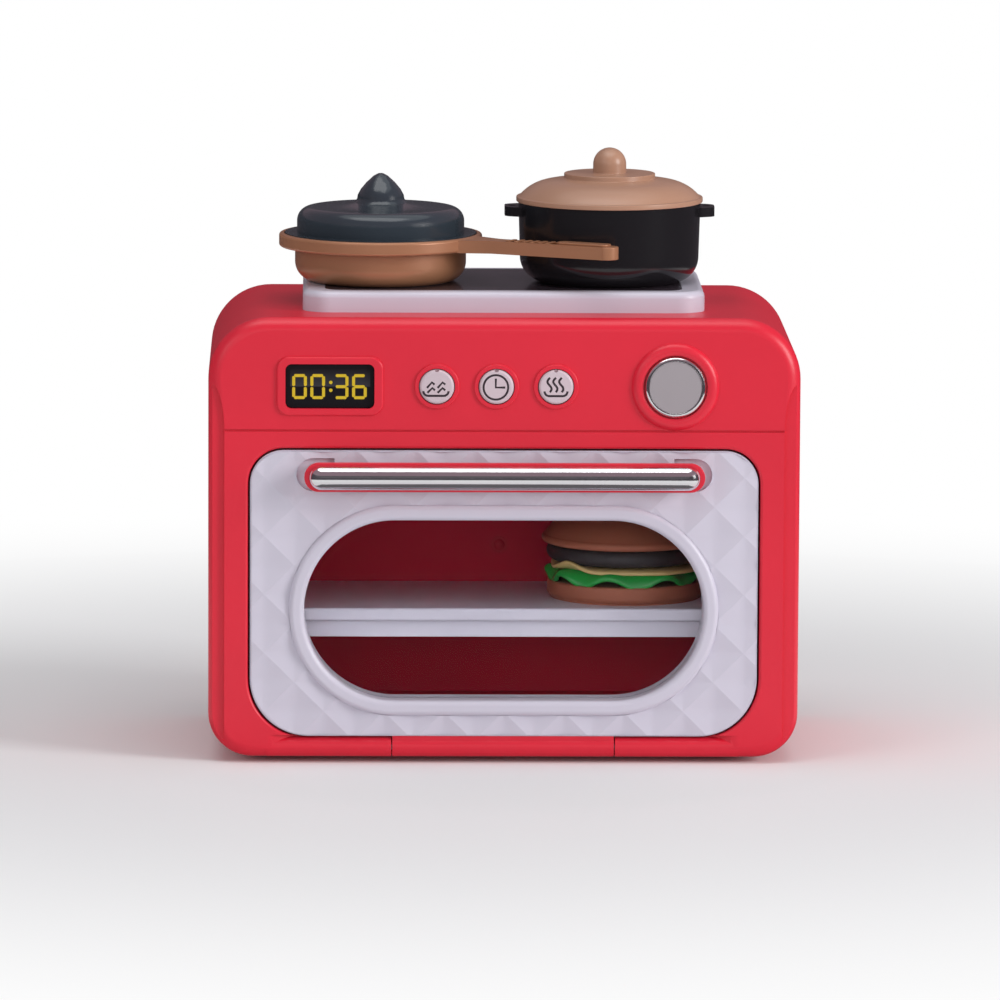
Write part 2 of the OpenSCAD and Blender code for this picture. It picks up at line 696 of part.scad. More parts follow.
module hob_top() color(black) difference() {
    flat(hob_z - 1.2) linear_extrude(1.2) outline(hob_w - 2 * hob_border - 2 * snug, hob_q + 5 + snug,
        hob_q + hob_d - 5 - snug, 6 - snug, 6 - snug);
    for (x = [-pan_x + 1.2, pot_x]) for (r = [13, 18.5, 24]) at(x, pan_q, hob_z - 0.3)
        difference() {
            cylinder(r = r + 0.4, h = 1, $fn = 96);
            translate([0, 0, -0.1]) cylinder(r = r - 0.4, h = 2, $fn = 96);
        }
}

// Controls

module display_lens() color([0.15, 0.16, 0.17]) {
    slab(0.4, wall - 0.4) translate([display_x, control_z])
        rounded(display_w - 2 * snug, display_h - 2 * snug, display_r - snug);
    slab(wall, 1.2) translate([display_x, control_z]) rounded(display_w + 4, display_h + 4, 3.4);
}

module display_card() color(black) slab(wall + 1.2, 0.6) translate([display_x, control_z])
    rounded(display_w + 3, display_h + 3, 2);

module button_cap(i) axis_y(button_x + i * button_pitch, control_z, -button_out) color([0.84, 0.80, 0.82])
    difference() {
        union() {
            rotate_extrude() {
                square([button_dia / 2 - 1, button_out + wall + 1.4]);
                translate([0, 1]) square([button_dia / 2, button_out + wall + 0.4]);
                translate([button_dia / 2 - 1, 1]) circle(1, $fn = 32);
            }
            translate([0, 0, button_out + wall + loose]) cylinder(r = button_dia / 2 + 1.5, h = 1.2);
            translate([0, 0, button_out + wall]) cylinder(r = 2.2, h = plunger_q - wall);
        }
        translate([0, -button_dia / 2 + 0.1, -over]) cylinder(r = 0.8, h = button_out + over, $fn = 24);
    }
module button_1() button_cap(-1);
module button_2() button_cap(0);
module button_3() button_cap(1);

plunger_q = 6.4;
switch_q = plunger_q + button_travel + 0.4;

module plunger(i) axis_y(button_x + i * button_pitch, control_z, plunger_q) color(black) {
    cylinder(r = 1.7, h = 3);
}
module plunger_1() plunger(-1);
module plunger_2() plunger(0);
module plunger_3() plunger(1);

module push_switches() color([0.25, 0.25, 0.27]) for (i = [-1:1])
    translate([button_x + i * button_pitch, front_y, control_z]) difference() {
        translate([-3, switch_q, -3]) cube([6, board_q - switch_q, 6]);
        translate([0, switch_q - over, 0]) rotate([-90, 0, 0])
            cylinder(r = 1.7 + loose, h = board_q - switch_q + over - 0.4);
    }

module control_board() color([0.12, 0.42, 0.22]) difference() {
    slab(board_q, board_t) translate([0, control_z]) rounded(board_w, board_h, 1);
    pilots(board_screw_at, board_q - over, board_q + board_t + over, screw_r + snug);
}

module sound_chip() color(black) axis_y(-14, control_z - 4, board_q + board_t) {
    cylinder(r = 6, h = 0.8);
    translate([0, 0, 0.8]) cylinder(r1 = 6, r2 = 3.4, h = 1.2);
}

module board_screws() color(steel) for (p = board_screw_at) screw_back(p[0], p[1], board_q + board_t,
    short_screw_len - 1);

// Knob with its shaft, click wheel and retaining screw

rim_w = 1.5;
rim_e = 1.2;
wheel_q = wall / 2 + 7.5 + 0.3;
wheel_r = 8;
wheel_t = 2.6;

module knob_body() color(chrome) axis_y(knob_x, control_z, -knob_out) difference() {
    union() {
        rotate_extrude($fn = 96) {
            translate([0, rim_e]) square([knob_dia / 2, knob_out - rim_e - 0.4]);
            square([knob_dia / 2 - rim_e, knob_out - 0.4]);
            translate([knob_dia / 2 - rim_e, rim_e]) circle(rim_e, $fn = 32);
        }
        translate([0, 0, 1]) cylinder(r = shaft_r, h = knob_out - 1 + wheel_q + wheel_t);
    }
    translate([0, 0, -over]) cylinder(r = knob_dia / 2 - rim_w, h = over + 0.8, $fn = 96);
    translate([0, 0, knob_out + wheel_q + wheel_t - 7]) cylinder(r = pilot_r, h = 8);
}

module knob_face() color([0.55, 0.53, 0.55]) axis_y(knob_x, control_z, -knob_out + 0.2) {
    cylinder(r = knob_dia / 2 - rim_w - 0.06, h = 0.6, $fn = 96);
}

module knob_ratchet() color(white) axis_y(knob_x, control_z, wheel_q) difference() {
    union() {
        cylinder(r = wheel_r - 1, h = wheel_t);
        for (i = [0:11]) rotate(i * 30) translate([wheel_r - 1.3, 0, 0])
            linear_extrude(wheel_t) polygon([[0, -1.3], [1.3, 0], [0, 1.3]]);
    }
    translate([0, 0, -over]) cylinder(r = shaft_r + touch, h = wheel_t + 2 * over);
}

module knob_screw() color(steel) axis_y(knob_x, control_z, wheel_q + wheel_t) {
    cylinder(r = shaft_r + 1.6, h = 0.8);
    translate([0, 0, 0.8]) screw(7);
}

module ratchet_spring() color(steel) {
    at(knob_x - 9, wheel_q + 0.3, control_z + wheel_r + loose) cube([18, wheel_t - 0.6, 0.5]);
    at(knob_x + 8.5, wall, control_z + wheel_r + loose) cube([0.5, wheel_q + wheel_t - 0.3 - wall, 6]);
}

// Lamp behind the cavity's back wall

module lamp_lens() color([0.95, 0.75, 0.35]) axis_y(0, lamp_z, cavity_q) {
    translate([0, 0, -0.8]) rotate_extrude() intersection() {
        translate([0, 3]) circle(3);
        square([lamp_r, 2]);
    }
    cylinder(r = lamp_r, h = liner_t);
    translate([0, 0, liner_t]) cylinder(r = lamp_r + 1.2, h = 0.8);
}

module lamp_led() color([0.98, 0.93, 0.80]) axis_y(0, lamp_z, cavity_q + liner_t + 0.8)
    cylinder(r = 1.5, h = 1.4);

module lamp_board() color([0.12, 0.42, 0.22]) slab(cavity_q + liner_t + 2.2, 1.2)
    translate([0, lamp_z]) rounded(16, 12, 1);

// Loudspeaker

module speaker() color([0.2, 0.2, 0.22]) axis_y(speaker_x, speaker_z, back_q - wall - 0.1) mirror([0, 0, 1]) {
    difference() {
        rotate_extrude($fn = 96) {
            square([speaker_r, speaker_t]);
            translate([0, speaker_t]) square([speaker_r - 2.4, 1.8]);
            translate([0, 3.6]) square([speaker_r * 0.5, 3.2]);
        }
        translate([0, 0, -over]) cylinder(r1 = speaker_r - 1.6, r2 = 4, h = 2.6 + over);
    }
    translate([0, 0, 1]) cylinder(r = 3.4, h = 2);
}

module speaker_screws() color(steel) for (p = speaker_screw_at)
    screw_back_front(p[0], p[1], back_q - wall - speaker_t - 0.12, 2.6);

// Battery box

box_q = cavity_q + liner_t + 1.6;
cell_q = box_q + 1.2 + cell_r + 0.2;

module battery_box() color(black) difference() {
    union() {
        difference() {
            slab(box_q, back_q - wall - box_q) translate([0, battery_z])
                rounded(cover_w - 1, cover_h - 1, 3);
            slab(box_q + 1.2, back_q) translate([0, battery_z])
                rounded(cell_len + 6.4, 4 * cell_r + 2.6, 1);
        }
        axis_y(0, cover_screw_z, box_q) cylinder(r = 2.4, h = back_q - wall - box_q);
    }
    axis_y(0, cover_screw_z, back_q - 11) cylinder(r = pilot_r, h = 12);
    for (x = [-16, 16]) at(x - 4.4, back_q - wall - 2, battery_z - cover_h / 2) cube([8.8, 4, 5]);
}

module batteries() for (s = [-1, 1]) at(0, cell_q, battery_z + s * (cell_r + 0.4)) rotate([0, 90 * s, 0]) {
    color([0.20, 0.22, 0.25]) translate([0, 0, -cell_len / 2]) cylinder(r = cell_r, h = cell_len - 1.4);
    color([0.80, 0.62, 0.30]) translate([0, 0, cell_len / 2 - 1.4]) cylinder(r = 2.7, h = 1.4);
}

module battery_contacts() color(steel) for (s = [-1, 1]) for (t = [-1, 1])
    at(s * (cell_len / 2 + 2.4) - 0.25, cell_q - 4.5, battery_z + t * (cell_r + 0.4) - 4.5) {
        cube([0.5, 9, 9]);
        translate([s > 0 ? -2.13 : 0.4, 4.5, 4.5]) rotate([0, 90, 0])
            if (s * t > 0) cylinder(r = 1.6, h = 2.23);
            else cylinder(r1 = s > 0 ? 2.6 : 3.6, r2 = s > 0 ? 3.6 : 2.6, h = 2.23);
    }

module battery_cover() color(red) difference() {
    union() {
        slab(back_q - 1.4 + touch, 1.4 - touch) translate([0, battery_z])
            rounded(cover_w - 2 * loose, cover_h - 2 * loose, 4 - loose);
        for (x = [-16, 16]) at(x - 4, back_q - wall - 1.6, battery_z - cover_h / 2) {
            translate([0, 0, 0.9]) cube([8, 1.4, 3]);
            translate([0, 0, 2.7]) cube([8, wall + 0.6, 1.2]);
        }
        axis_y(0, cover_screw_z, back_q - wall + touch) cylinder(r = 2.25, h = 1.2);
    }
    axis_y(0, cover_screw_z, back_q - 3) cylinder(r = screw_r + snug, h = 4);
    axis_y(0, cover_screw_z, back_q - 1) cylinder(r = 2.35, h = 4);
    for (i = [0:4]) at(-10, back_q - 0.5, battery_z - 6 + i * 3) cube([20, 1, 1]);
}

module battery_cover_screw() color(steel) axis_y(0, cover_screw_z, back_q - 1) screw(8, 2.2, 0.9);

// Power switch

module power_switch() color([0.16, 0.16, 0.17]) difference() {
    at(switch_x - 7, back_q - wall - 6, switch_z - 4) cube([14, 6, 8]);
    at(switch_x - 5, back_q - wall - 4, switch_z - 2.2) cube([10, 5, 4.4]);
}

module power_slider() color(black) {
    at(switch_x - 4.3, back_q - wall - 3.4, switch_z - 1.8) cube([5, 5.2, 3.6]);
}

// Insulated wires from the control board to the lamp, the loudspeaker, the switch and the cells
module wire(points) {
    for (i = [0:len(points) - 2]) {
        v = points[i + 1] - points[i];
        at(points[i][0], points[i][1], points[i][2])
            rotate([0, acos(v[2] / norm(v)), atan2(v[1], v[0])]) cylinder(r = 0.6, h = norm(v), $fn = 32);
    }
    for (i = [1:len(points) - 2]) at(points[i][0], points[i][1], points[i][2]) sphere(0.9, $fn = 32);
}
module wires() color([0.75, 0.12, 0.12]) {
    q0 = board_q + board_t;
    box_top = battery_z + (cover_h - 1) / 2;
    wire([[24, q0, control_z - 8], [24, box_q + 3, control_z - 8], [24, box_q + 3, box_top]]);
    wire([[2, q0, control_z - 9], [2, cavity_q + liner_t + 2.8, control_z - 9],
        [2, cavity_q + liner_t + 2.8, lamp_z + 6]]);
    wire([[-30, q0, control_z], [-30, q0 + 50, control_z], [speaker_x, q0 + 50, speaker_z],
        [speaker_x, back_q - wall - 6.9, speaker_z]]);
    wire([[30, q0, control_z + 2], [30, q0 + 50, control_z + 2], [switch_x - 4, q0 + 50, switch_z],
        [switch_x - 4, back_q - wall - 6, switch_z]]);
}

// Screws of the housing

module shell_screws() color(steel) for (p = shell_screw_at)
    screw_back(p[0], p[1], back_q - 6, shell_screw_len);
module liner_screws() color(steel) for (p = liner_screw_at)
    screw_back(p[0], p[1], liner_q + 11, short_screw_len);
module hob_screws() color(steel) for (p = hob_screw_at) at(p[0], p[1], z_top - wall) mirror([0, 0, 1])
    screw(wall + hob_h - 2.8);

module hinge_rod() color(steel) at(-rod_len / 2, hinge_q, hinge_z) rotate([0, 90, 0])
    cylinder(r = rod_r, h = rod_len);

// Door

// Quilted relief: peaks and crossings alternate on a grid, joined by flat facets
module quilt() {
    nx = ceil(door_w / 2 / quilt_x) + 1;
    n0 = ceil(quilt_rise / quilt_z) + 1;
    n1 = ceil((door_h - quilt_rise) / quilt_z) + 1;
    cols = 2 * nx + 1;
    rows = n0 + n1 + 1;
    top = [for (j = [-n0:n1]) for (i = [-nx:nx])
        [i * quilt_x, quilt_z0 + j * quilt_z, abs(i + j) % 2 == 1 ? quilt_h : 0]];
    low = [for (p = top) [p[0], p[1], -0.6]];
    count = cols * rows;
    cells = [for (j = [0:rows - 2]) for (i = [0:cols - 2]) j * cols + i];
    // each cell is split along the line that joins its two crossings
    sheet = [for (c = cells) let (i = c % cols - nx, j = floor(c / cols) - n0)
        each abs(i + j) % 2 == 0 ? [[c, c + cols + 1, c + 1], [c, c + cols, c + cols + 1]]
            : [[c, c + cols, c + 1], [c + 1, c + cols, c + cols + 1]]];
    base = [for (f = sheet) [f[2] + count, f[1] + count, f[0] + count]];
    edge = concat([for (i = [0:cols - 2]) [i, i + 1]],
        [for (j = [0:rows - 2]) [(j + 1) * cols - 1, (j + 2) * cols - 1]],
        [for (i = [cols - 1:-1:1]) [count - cols + i, count - cols + i - 1]],
        [for (j = [rows - 1:-1:1]) [j * cols, (j - 1) * cols]]);
    skirt = [for (e = edge) each [[e[0], e[1], e[1] + count], [e[0], e[1] + count, e[0] + count]]];
    polyhedron(concat(top, low), concat(sheet, base, skirt));
}

// A bar's end in front view: half round outside, square inside
module end_outline(x1, len, r) for (s = [0, 1]) mirror([s, 0]) translate([x1 - r, handle_z]) {
    circle(r);
    translate([r - len, -r]) square([len - r, 2 * r]);
}
module post_outline() end_outline(handle_len / 2 - post_in, post_len - post_in, handle_h / 2 - post_in);
module pocket_outline() end_outline(handle_len / 2 + pocket_reach, pocket_len, pocket_r);

module ring_profile() {
    e = 2;
    square([ring_w, ring_h + door_skin - e]);
    translate([e, 0]) square([ring_w - 2 * e, ring_h + door_skin]);
    for (x = [e, ring_w - e]) translate([x, ring_h + door_skin - e]) circle(e, $fn = 48);
}

module door_panel() color(white) difference() {
    union() {
        difference() {
            slab(door_face, door_d) door_outline(0);
            slab(door_face + door_skin, door_d) door_outline(-door_skin);
        }
        face(door_face) difference() {
            intersection() {
                quilt();
                translate([0, 0, -0.5]) linear_extrude(3) door_outline(-0.5);
            }
            translate([0, window_z, 0]) linear_extrude(3)
                stadium(window_w + 2 * ring_w - 1, window_h + 2 * ring_w - 1);
        }
        face(door_face + door_skin) translate([0, window_z, 0])
            round_stadium(window_w, window_h) ring_profile();
        // tube with a rabbet that holds the pane
        slab(door_face + door_skin / 2, pane_q + pane_t + 1.5 - door_face - door_skin / 2)
            translate([0, window_z]) stadium(window_w + 2 * tube_w, window_h + 2 * tube_w);
        bosses(door_screw_at, door_face + door_skin / 2, door_back - 2.4, 2.9);
    }
    slab(-5, 25) translate([0, window_z]) stadium(window_w, window_h);
    slab(pane_q, 10) translate([0, window_z]) stadium(window_w + 4, window_h + 4);
    pilots(door_screw_at, door_face + door_skin + 0.4, door_back + over);
    for (s = [-1, 1]) axis_y(s * (handle_len - post_len) / 2, handle_z, -over)
        cylinder(r = screw_r + snug, h = 6);
    // pockets round the posts and a notch for the hinge's leaf
    slab(-over, over + pocket_q) pocket_outline();
    at(-leaf_half - snug, door_face + door_skin, door_z - over)
        cube([2 * (leaf_half + snug), leaf_room, door_skin + 2 * over]);
    corner_relief();
    pilots(hinge_screw_at, door_face + 0.6, door_face + door_skin + 1);
}

// Thins the door's wall at its lower corners, so that it swings past the housing's edge
module corner_relief() for (s = [0, 1]) mirror([s, 0, 0]) slab(door_face + 1.2, 7) difference() {
    translate([door_w / 2 - door_r_low - 2, door_z - over]) square([door_r_low + 2 + over, over + 8.5]);
    door_outline(-door_skin / 2);
}

module door_hinge() color(red) difference() {
    union() {
        at(-knuckle_half, hinge_q, hinge_z) rotate([0, 90, 0]) cylinder(r = knuckle_r, h = knuckle_len);
        at(-knuckle_half, door_face + 0.3, hinge_z) cube([knuckle_len, 4, door_z - touch - hinge_z]);
        at(-leaf_half, door_face + door_skin + touch, hinge_z)
            cube([2 * leaf_half, leaf_t, leaf_top - hinge_z]);
        for (p = hinge_screw_at) axis_y(p[0], p[1], door_face + door_skin + leaf_t - touch)
            cylinder(r = 2.9, h = leaf_boss);
    }
    rod_bore(rod_r + running);
    pilots(hinge_screw_at, door_face + door_skin - 1, door_face + door_skin + leaf_t + 3);
}

module hinge_screws() color(steel) for (p = hinge_screw_at)
    screw_back(p[0], p[1], door_face + door_skin + leaf_t + leaf_boss, 5.4);

module door_liner() color(white) difference() {
    union() {
        slab(door_back - 2.4, 2.4) door_outline(-door_skin - snug);
        slab(pane_q + pane_t, door_back - pane_q - pane_t) translate([0, window_z])
            stadium(window_w + 4 - 2 * snug, window_h + 4 - 2 * snug);
    }
    slab(0, 25) translate([0, window_z]) stadium(window_w, window_h);
    pilots(door_screw_at, door_back - 3, door_back + over, screw_r + snug);
    pilots(door_screw_at, door_back - 1.4, door_back + over, screw_head + loose);
}

module door_screws() color(steel) for (p = door_screw_at)
    screw_back(p[0], p[1], door_back - 1.4, short_screw_len);

module window_pane() color([0.85, 0.92, 0.95, 0.35]) slab(pane_q, pane_t)
    translate([0, window_z]) stadium(window_w + 4 - 2 * snug, window_h + 4 - 2 * snug);

// Handle

bar_q = -handle_out + trim_r;

module handle_bar() color(red) difference() {
    union() {
        slab(bar_q, handle_t) translate([0, handle_z]) stadium(handle_len, handle_h);
        slab(bar_q, pocket_q - bar_q) post_outline();
    }
    for (s = [-1, 1]) axis_y(s * (handle_len - post_len) / 2, handle_z, bar_q + 2)
        cylinder(r = pilot_r, h = 20);
}

module handle_trim() color(chrome) intersection() {
    at(0, bar_q, handle_z) {
        rotate([0, 90, 0]) cylinder(r = trim_r, h = handle_len - 2 * (trim_in + trim_r), center = true);
        for (s = [-1, 1]) translate([s * (handle_len / 2 - trim_in - trim_r), 0, 0]) sphere(trim_r);
    }
    at(-handle_len, bar_q - 20, handle_z - 20) cube([2 * handle_len, 20, 40]);
}

module handle_screws() color(steel) for (s = [-1, 1])
    screw_back(s * (handle_len - post_len) / 2, handle_z, door_face + door_skin, 7);

// Cookware

module frying_pan() color([0.66, 0.44, 0.31]) at(-pan_x, pan_q, hob_z) {
    body_r = pan_r - 5.8;
    rim_z = pan_h - 4.9;
    difference() {
        union() {
            rotate_extrude($fn = 96) difference() {
                union() {
                    square([body_r - 7, 2]);
                    translate([body_r - 7, 7]) circle(7);
                    translate([0, 7]) square([body_r, rim_z - 7]);
                    translate([0, 2]) square([body_r - 7, 5]);
                    translate([0, rim_z]) square([pan_r - 1, 4.9]);
                    translate([0, rim_z + 1]) square([pan_r, 2.9]);
                    for (z = [1, 3.9]) translate([pan_r - 1, rim_z + z]) circle(1, $fn = 32);
                }
                translate([-over, 1.6]) square([body_r - 7 + over, 20]);
                translate([body_r - 7, 7]) circle(7 - pot_wall);
                translate([0, 7]) square([body_r - pot_wall, 20]);
                translate([0, pan_h - 1.6]) square([pan_r - 1.8, 3]);
            }
            rotate(-pan_angle) pan_handle(rim_z);
        }
        rotate(-pan_angle) translate([pan_reach - 7, 0, pan_h - 8]) cylinder(r = 1.6, h = 10);
    }
}

module pan_handle(z) difference() {
    translate([0, 0, z]) linear_extrude(4.6) {
        translate([pan_r - 2, -4]) square([pan_reach - pan_r - 2, 8]);
        translate([pan_reach - 4, 0]) circle(4);
        polygon([[pan_r - 3, -9], [pan_r + 10, -4], [pan_r + 10, 4], [pan_r - 3, 9]]);
    }
    cylinder(r = pan_r - 1.3, h = 40, $fn = 96);
    translate([0, 0, z + 3.6]) linear_extrude(2) {
        translate([pan_r + 16, -2.4]) square([pan_reach - pan_r - 30, 4.8]);
    }
}

lid_gap = 0.3;

module pan_lid() color([0.23, 0.27, 0.31])
at(-pan_x, pan_q, hob_z + pan_h - 1.6 + touch) rotate_extrude($fn = 96) {
    r = pan_r - 1.8 - lid_gap;
    difference() {
        union() {
            square([r, 1.8]);
            translate([0, 1.8]) square([r - 4.4, 4.2]);
            translate([0, 6]) square([r - 9.4, 5]);
            translate([r - 9.4, 6]) circle(5);
            translate([0, 10]) polygon([[0, 0], [r - 12, 0.9], [9.6, 2.6], [8.6, 3.8], [0, 3.8]]);
        }
        translate([0, -over]) square([r - 6.2, 7.2]);
        translate([r - 9.6, 6]) circle(3.4);
        translate([0, 6]) square([r - 9.6, 3.4]);
    }
    translate([0, 13.8]) polygon([[0, 0], [8.6, 0], [8.3, 1.6], [7.2, 3.6], [5.2, 6], [2.6, 8.4],
        [0.9, 9.3], [0, 9.4]]);
}

module stock_pot() color([0.07, 0.07, 0.08]) at(pot_x, pan_q, hob_z) {
    rotate_extrude($fn = 96) difference() {
        union() {
            square([pot_r - 9, 2]);
            translate([pot_r - 9.6, 9]) circle(9);
            translate([0, 2]) square([pot_r - 9.6, 7]);
            polygon([[0, 9], [pot_r - 0.6, 9], [pot_r, pot_h], [0, pot_h]]);
        }
        translate([-over, 1.8]) square([pot_r - 9.6 + over, 10]);
        translate([pot_r - 9.6, 9]) circle(9 - pot_wall);
        polygon([[0, 9], [pot_r - 0.6 - pot_wall, 9], [pot_r - pot_wall, pot_h + over], [0, pot_h + over]]);
    }
    // side ears at the rim
    for (s = [0, 1]) mirror([s, 0, 0]) difference() {
        translate([pot_r - 8, -8, pot_h - 5]) linear_extrude(3.4) hull() {
            square([8, 16]);
            translate([9, 5]) circle(4);
            translate([9, 11]) circle(4);
        }
        translate([0, 0, pot_h - 9]) cylinder(r = pot_r - 0.7, h = 12, $fn = 96);
        translate([pot_r + 2.2, 0, pot_h - 9]) cylinder(r = 1.4, h = 12);
    }
}

module pot_lid() color([0.69, 0.51, 0.42]) at(pot_x, pan_q, hob_z + pot_h + touch) rotate_extrude($fn = 96) {
    r = pot_r + 0.8;
    difference() {
        union() {
            square([r, 1.8]);
            translate([0, 1.8]) lid_dome(r - 1);
        }
        translate([0, -over]) square([r - 3, 1.6 + over]);
        intersection() {
            lid_dome(r - 1);
            square([r - 3, 10]);
        }
    }
    translate([pot_r - pot_wall - 1.7, -2]) square([1.2, 4.2]);
    translate([0, 8]) square([16.5, 2.3]);
    translate([0, 10.3]) square([6, 3.2]);
    translate([0, 13.5]) intersection() {
        circle(6);
        square([6, 6]);
    }
}

// Half section of a dome whose flat crown runs into a tighter arc at the rim
module lid_dome(r) {
    rise = 7.6;
    crown_r = 140;
    turn = 0.7 * r;
    a = asin(turn / crown_r);
    drop = crown_r * (1 - cos(a));
    side_h = rise - drop;
    side_w = r - turn;
    side_r = (side_w * side_w + side_h * side_h) / (2 * (side_h * cos(a) - side_w * sin(a)));
    intersection() {
        translate([0, rise - crown_r]) circle(crown_r, $fn = 192);
        square([turn, rise]);
    }
    intersection() {
        translate([turn - side_r * sin(a), side_h - side_r * cos(a)]) circle(side_r, $fn = 96);
        square([r, rise]);
    }
}
// Radius of a circle that rises h over a half chord c
function dome_r(c, h) = (c * c + h * h) / (2 * h);

// Play burger on the shelf

burger_x = cavity_w / 2 - burger_in;
burger_q = cavity_q - burger_back - bun_r;
bun_low_h = 6.6;
leaf_h = 5.4;
cheese_h = 1.6;
patty_h = 6.4;
leaf_z = shelf_z + bun_low_h;
cheese_z = leaf_z + leaf_h;
patty_z = cheese_z + cheese_h;
bun_z = patty_z + patty_h;

module bun_bottom() color([0.60, 0.29, 0.16]) at(burger_x, burger_q, shelf_z) rotate_extrude($fn = 96) {
    square([bun_r - 4.5, bun_low_h]);
    translate([0, 2]) square([bun_r - 2, bun_low_h - 3]);
    translate([bun_r - 4.5, 2.5]) circle(2.5);
    translate([bun_r - 3, bun_low_h - 1]) circle(1);
    square([bun_r - 3, bun_low_h]);
}

function ring(k, i) = k * 96 + i % 96;

// Lettuce leaf: its frilled edge rises and falls round the burger
module lettuce() color([0.13, 0.60, 0.24]) at(burger_x, burger_q, leaf_z) {
    n = 96;
    waves = 9;
    r_in = bun_r - 9;
    r_mid = bun_r - 4;
    r_out = bun_r - 0.6;
    lift = (leaf_h - 1.6) / 2;
    rim = [for (k = [0:2]) for (i = [0:n - 1]) let (a = 360 * i / n, w = [0, 0.5, 1][k],
        r = [r_in, r_mid, r_out][k], z = lift * (1 + w * sin(waves * a)))
        [r * cos(a), r * sin(a), z]];
    low = rim;
    high = [for (p = rim) [p[0], p[1], p[2] + 1.6]];
    m = 3 * n;
    bottom = [for (k = [0, 1]) for (i = [0:n - 1]) each [[ring(k, i), ring(k + 1, i + 1), ring(k, i + 1)],
        [ring(k, i), ring(k + 1, i), ring(k + 1, i + 1)]]];
    upper = [for (f = bottom) [f[2] + m, f[1] + m, f[0] + m]];
    sides = [for (i = [0:n - 1]) each [[ring(2, i), ring(2, i + 1) + m, ring(2, i + 1)],
        [ring(2, i), ring(2, i) + m, ring(2, i + 1) + m],
        [ring(0, i + 1), ring(0, i) + m, ring(0, i)], [ring(0, i + 1), ring(0, i + 1) + m, ring(0, i) + m]]];
    polyhedron(concat(low, high), concat(bottom, upper, sides));
    cylinder(r = r_in + 0.4, h = leaf_h);
}

module cheese() color([0.88, 0.78, 0.42]) at(burger_x, burger_q, cheese_z) linear_extrude(cheese_h)
    rotate(20) rounded(2 * bun_r - 18, 2 * bun_r - 18, 3);

module patty() color([0.20, 0.12, 0.10]) at(burger_x, burger_q, patty_z) rotate_extrude($fn = 96) {
    square([bun_r - 5, patty_h]);
    translate([bun_r - 5, patty_h / 2]) circle(patty_h / 2);
}

module bun_top() color([0.60, 0.29, 0.16]) at(burger_x, burger_q, bun_z) rotate_extrude($fn = 96) {
    crown = dome_r(bun_r - 0.3, bun_h - 2);
    square([bun_r - 1.6, 3]);
    translate([bun_r - 1.6, 1.6]) circle(1.6);
    translate([0, 2]) intersection() {
        translate([0, bun_h - 2 - crown]) circle(crown, $fn = 192);
        square([bun_r, bun_h]);
    }
}

front_shell();
rear_shell();
oven_liner();
shelf();
hob_plate();
hob_top();
feet();
display_lens();
display_card();
control_board();
sound_chip();
push_switches();
board_screws();
ratchet_spring();
lamp_lens();
lamp_led();
lamp_board();
speaker();
speaker_screws();
battery_box();
batteries();
battery_contacts();
battery_cover();
battery_cover_screw();
power_switch();
power_slider();
wires();
hinge_rod();
shell_screws();
liner_screws();
hob_screws();
door_panel();
door_liner();
window_pane();
door_hinge();
handle_bar();
handle_trim();
handle_screws();
door_screws();
hinge_screws();
button_1();
button_2();
button_3();
plunger_1();
plunger_2();
plunger_3();
knob_body();
knob_face();
knob_ratchet();
knob_screw();
frying_pan();
pan_lid();
stock_pot();
pot_lid();
bun_bottom();
lettuce();
cheese();
patty();
bun_top();
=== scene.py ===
"""Looks of a toy oven with a quilted drop-down door, a lidded pan and pot, and a play burger.

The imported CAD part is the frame. Lengths are metres, X to the right, Y to the back, Z up.
"""

import math

import bmesh
import bpy
from mathutils import Matrix, Quaternion, Vector
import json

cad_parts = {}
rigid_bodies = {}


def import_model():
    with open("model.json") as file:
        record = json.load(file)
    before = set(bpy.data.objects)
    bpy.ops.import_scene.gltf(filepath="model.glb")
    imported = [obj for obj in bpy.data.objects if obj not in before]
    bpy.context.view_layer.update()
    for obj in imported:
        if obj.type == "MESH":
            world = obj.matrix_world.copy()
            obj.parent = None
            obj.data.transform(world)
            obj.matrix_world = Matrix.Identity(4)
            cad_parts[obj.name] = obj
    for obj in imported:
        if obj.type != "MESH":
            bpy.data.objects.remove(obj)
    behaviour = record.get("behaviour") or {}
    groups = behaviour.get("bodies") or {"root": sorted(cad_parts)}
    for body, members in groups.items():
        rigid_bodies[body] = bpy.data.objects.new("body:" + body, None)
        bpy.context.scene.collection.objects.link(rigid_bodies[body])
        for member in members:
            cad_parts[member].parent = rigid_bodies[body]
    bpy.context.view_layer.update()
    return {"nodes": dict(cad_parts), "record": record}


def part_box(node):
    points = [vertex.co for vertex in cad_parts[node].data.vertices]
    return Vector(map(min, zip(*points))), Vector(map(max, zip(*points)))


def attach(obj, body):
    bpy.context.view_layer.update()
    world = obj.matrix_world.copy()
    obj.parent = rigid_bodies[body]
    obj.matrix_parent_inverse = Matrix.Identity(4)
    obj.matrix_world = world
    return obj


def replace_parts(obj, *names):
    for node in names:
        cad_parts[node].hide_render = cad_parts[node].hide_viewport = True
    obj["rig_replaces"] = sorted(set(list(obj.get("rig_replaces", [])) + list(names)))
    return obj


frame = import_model()
bpy.ops.object.select_all(action="DESELECT")
mm = 0.001

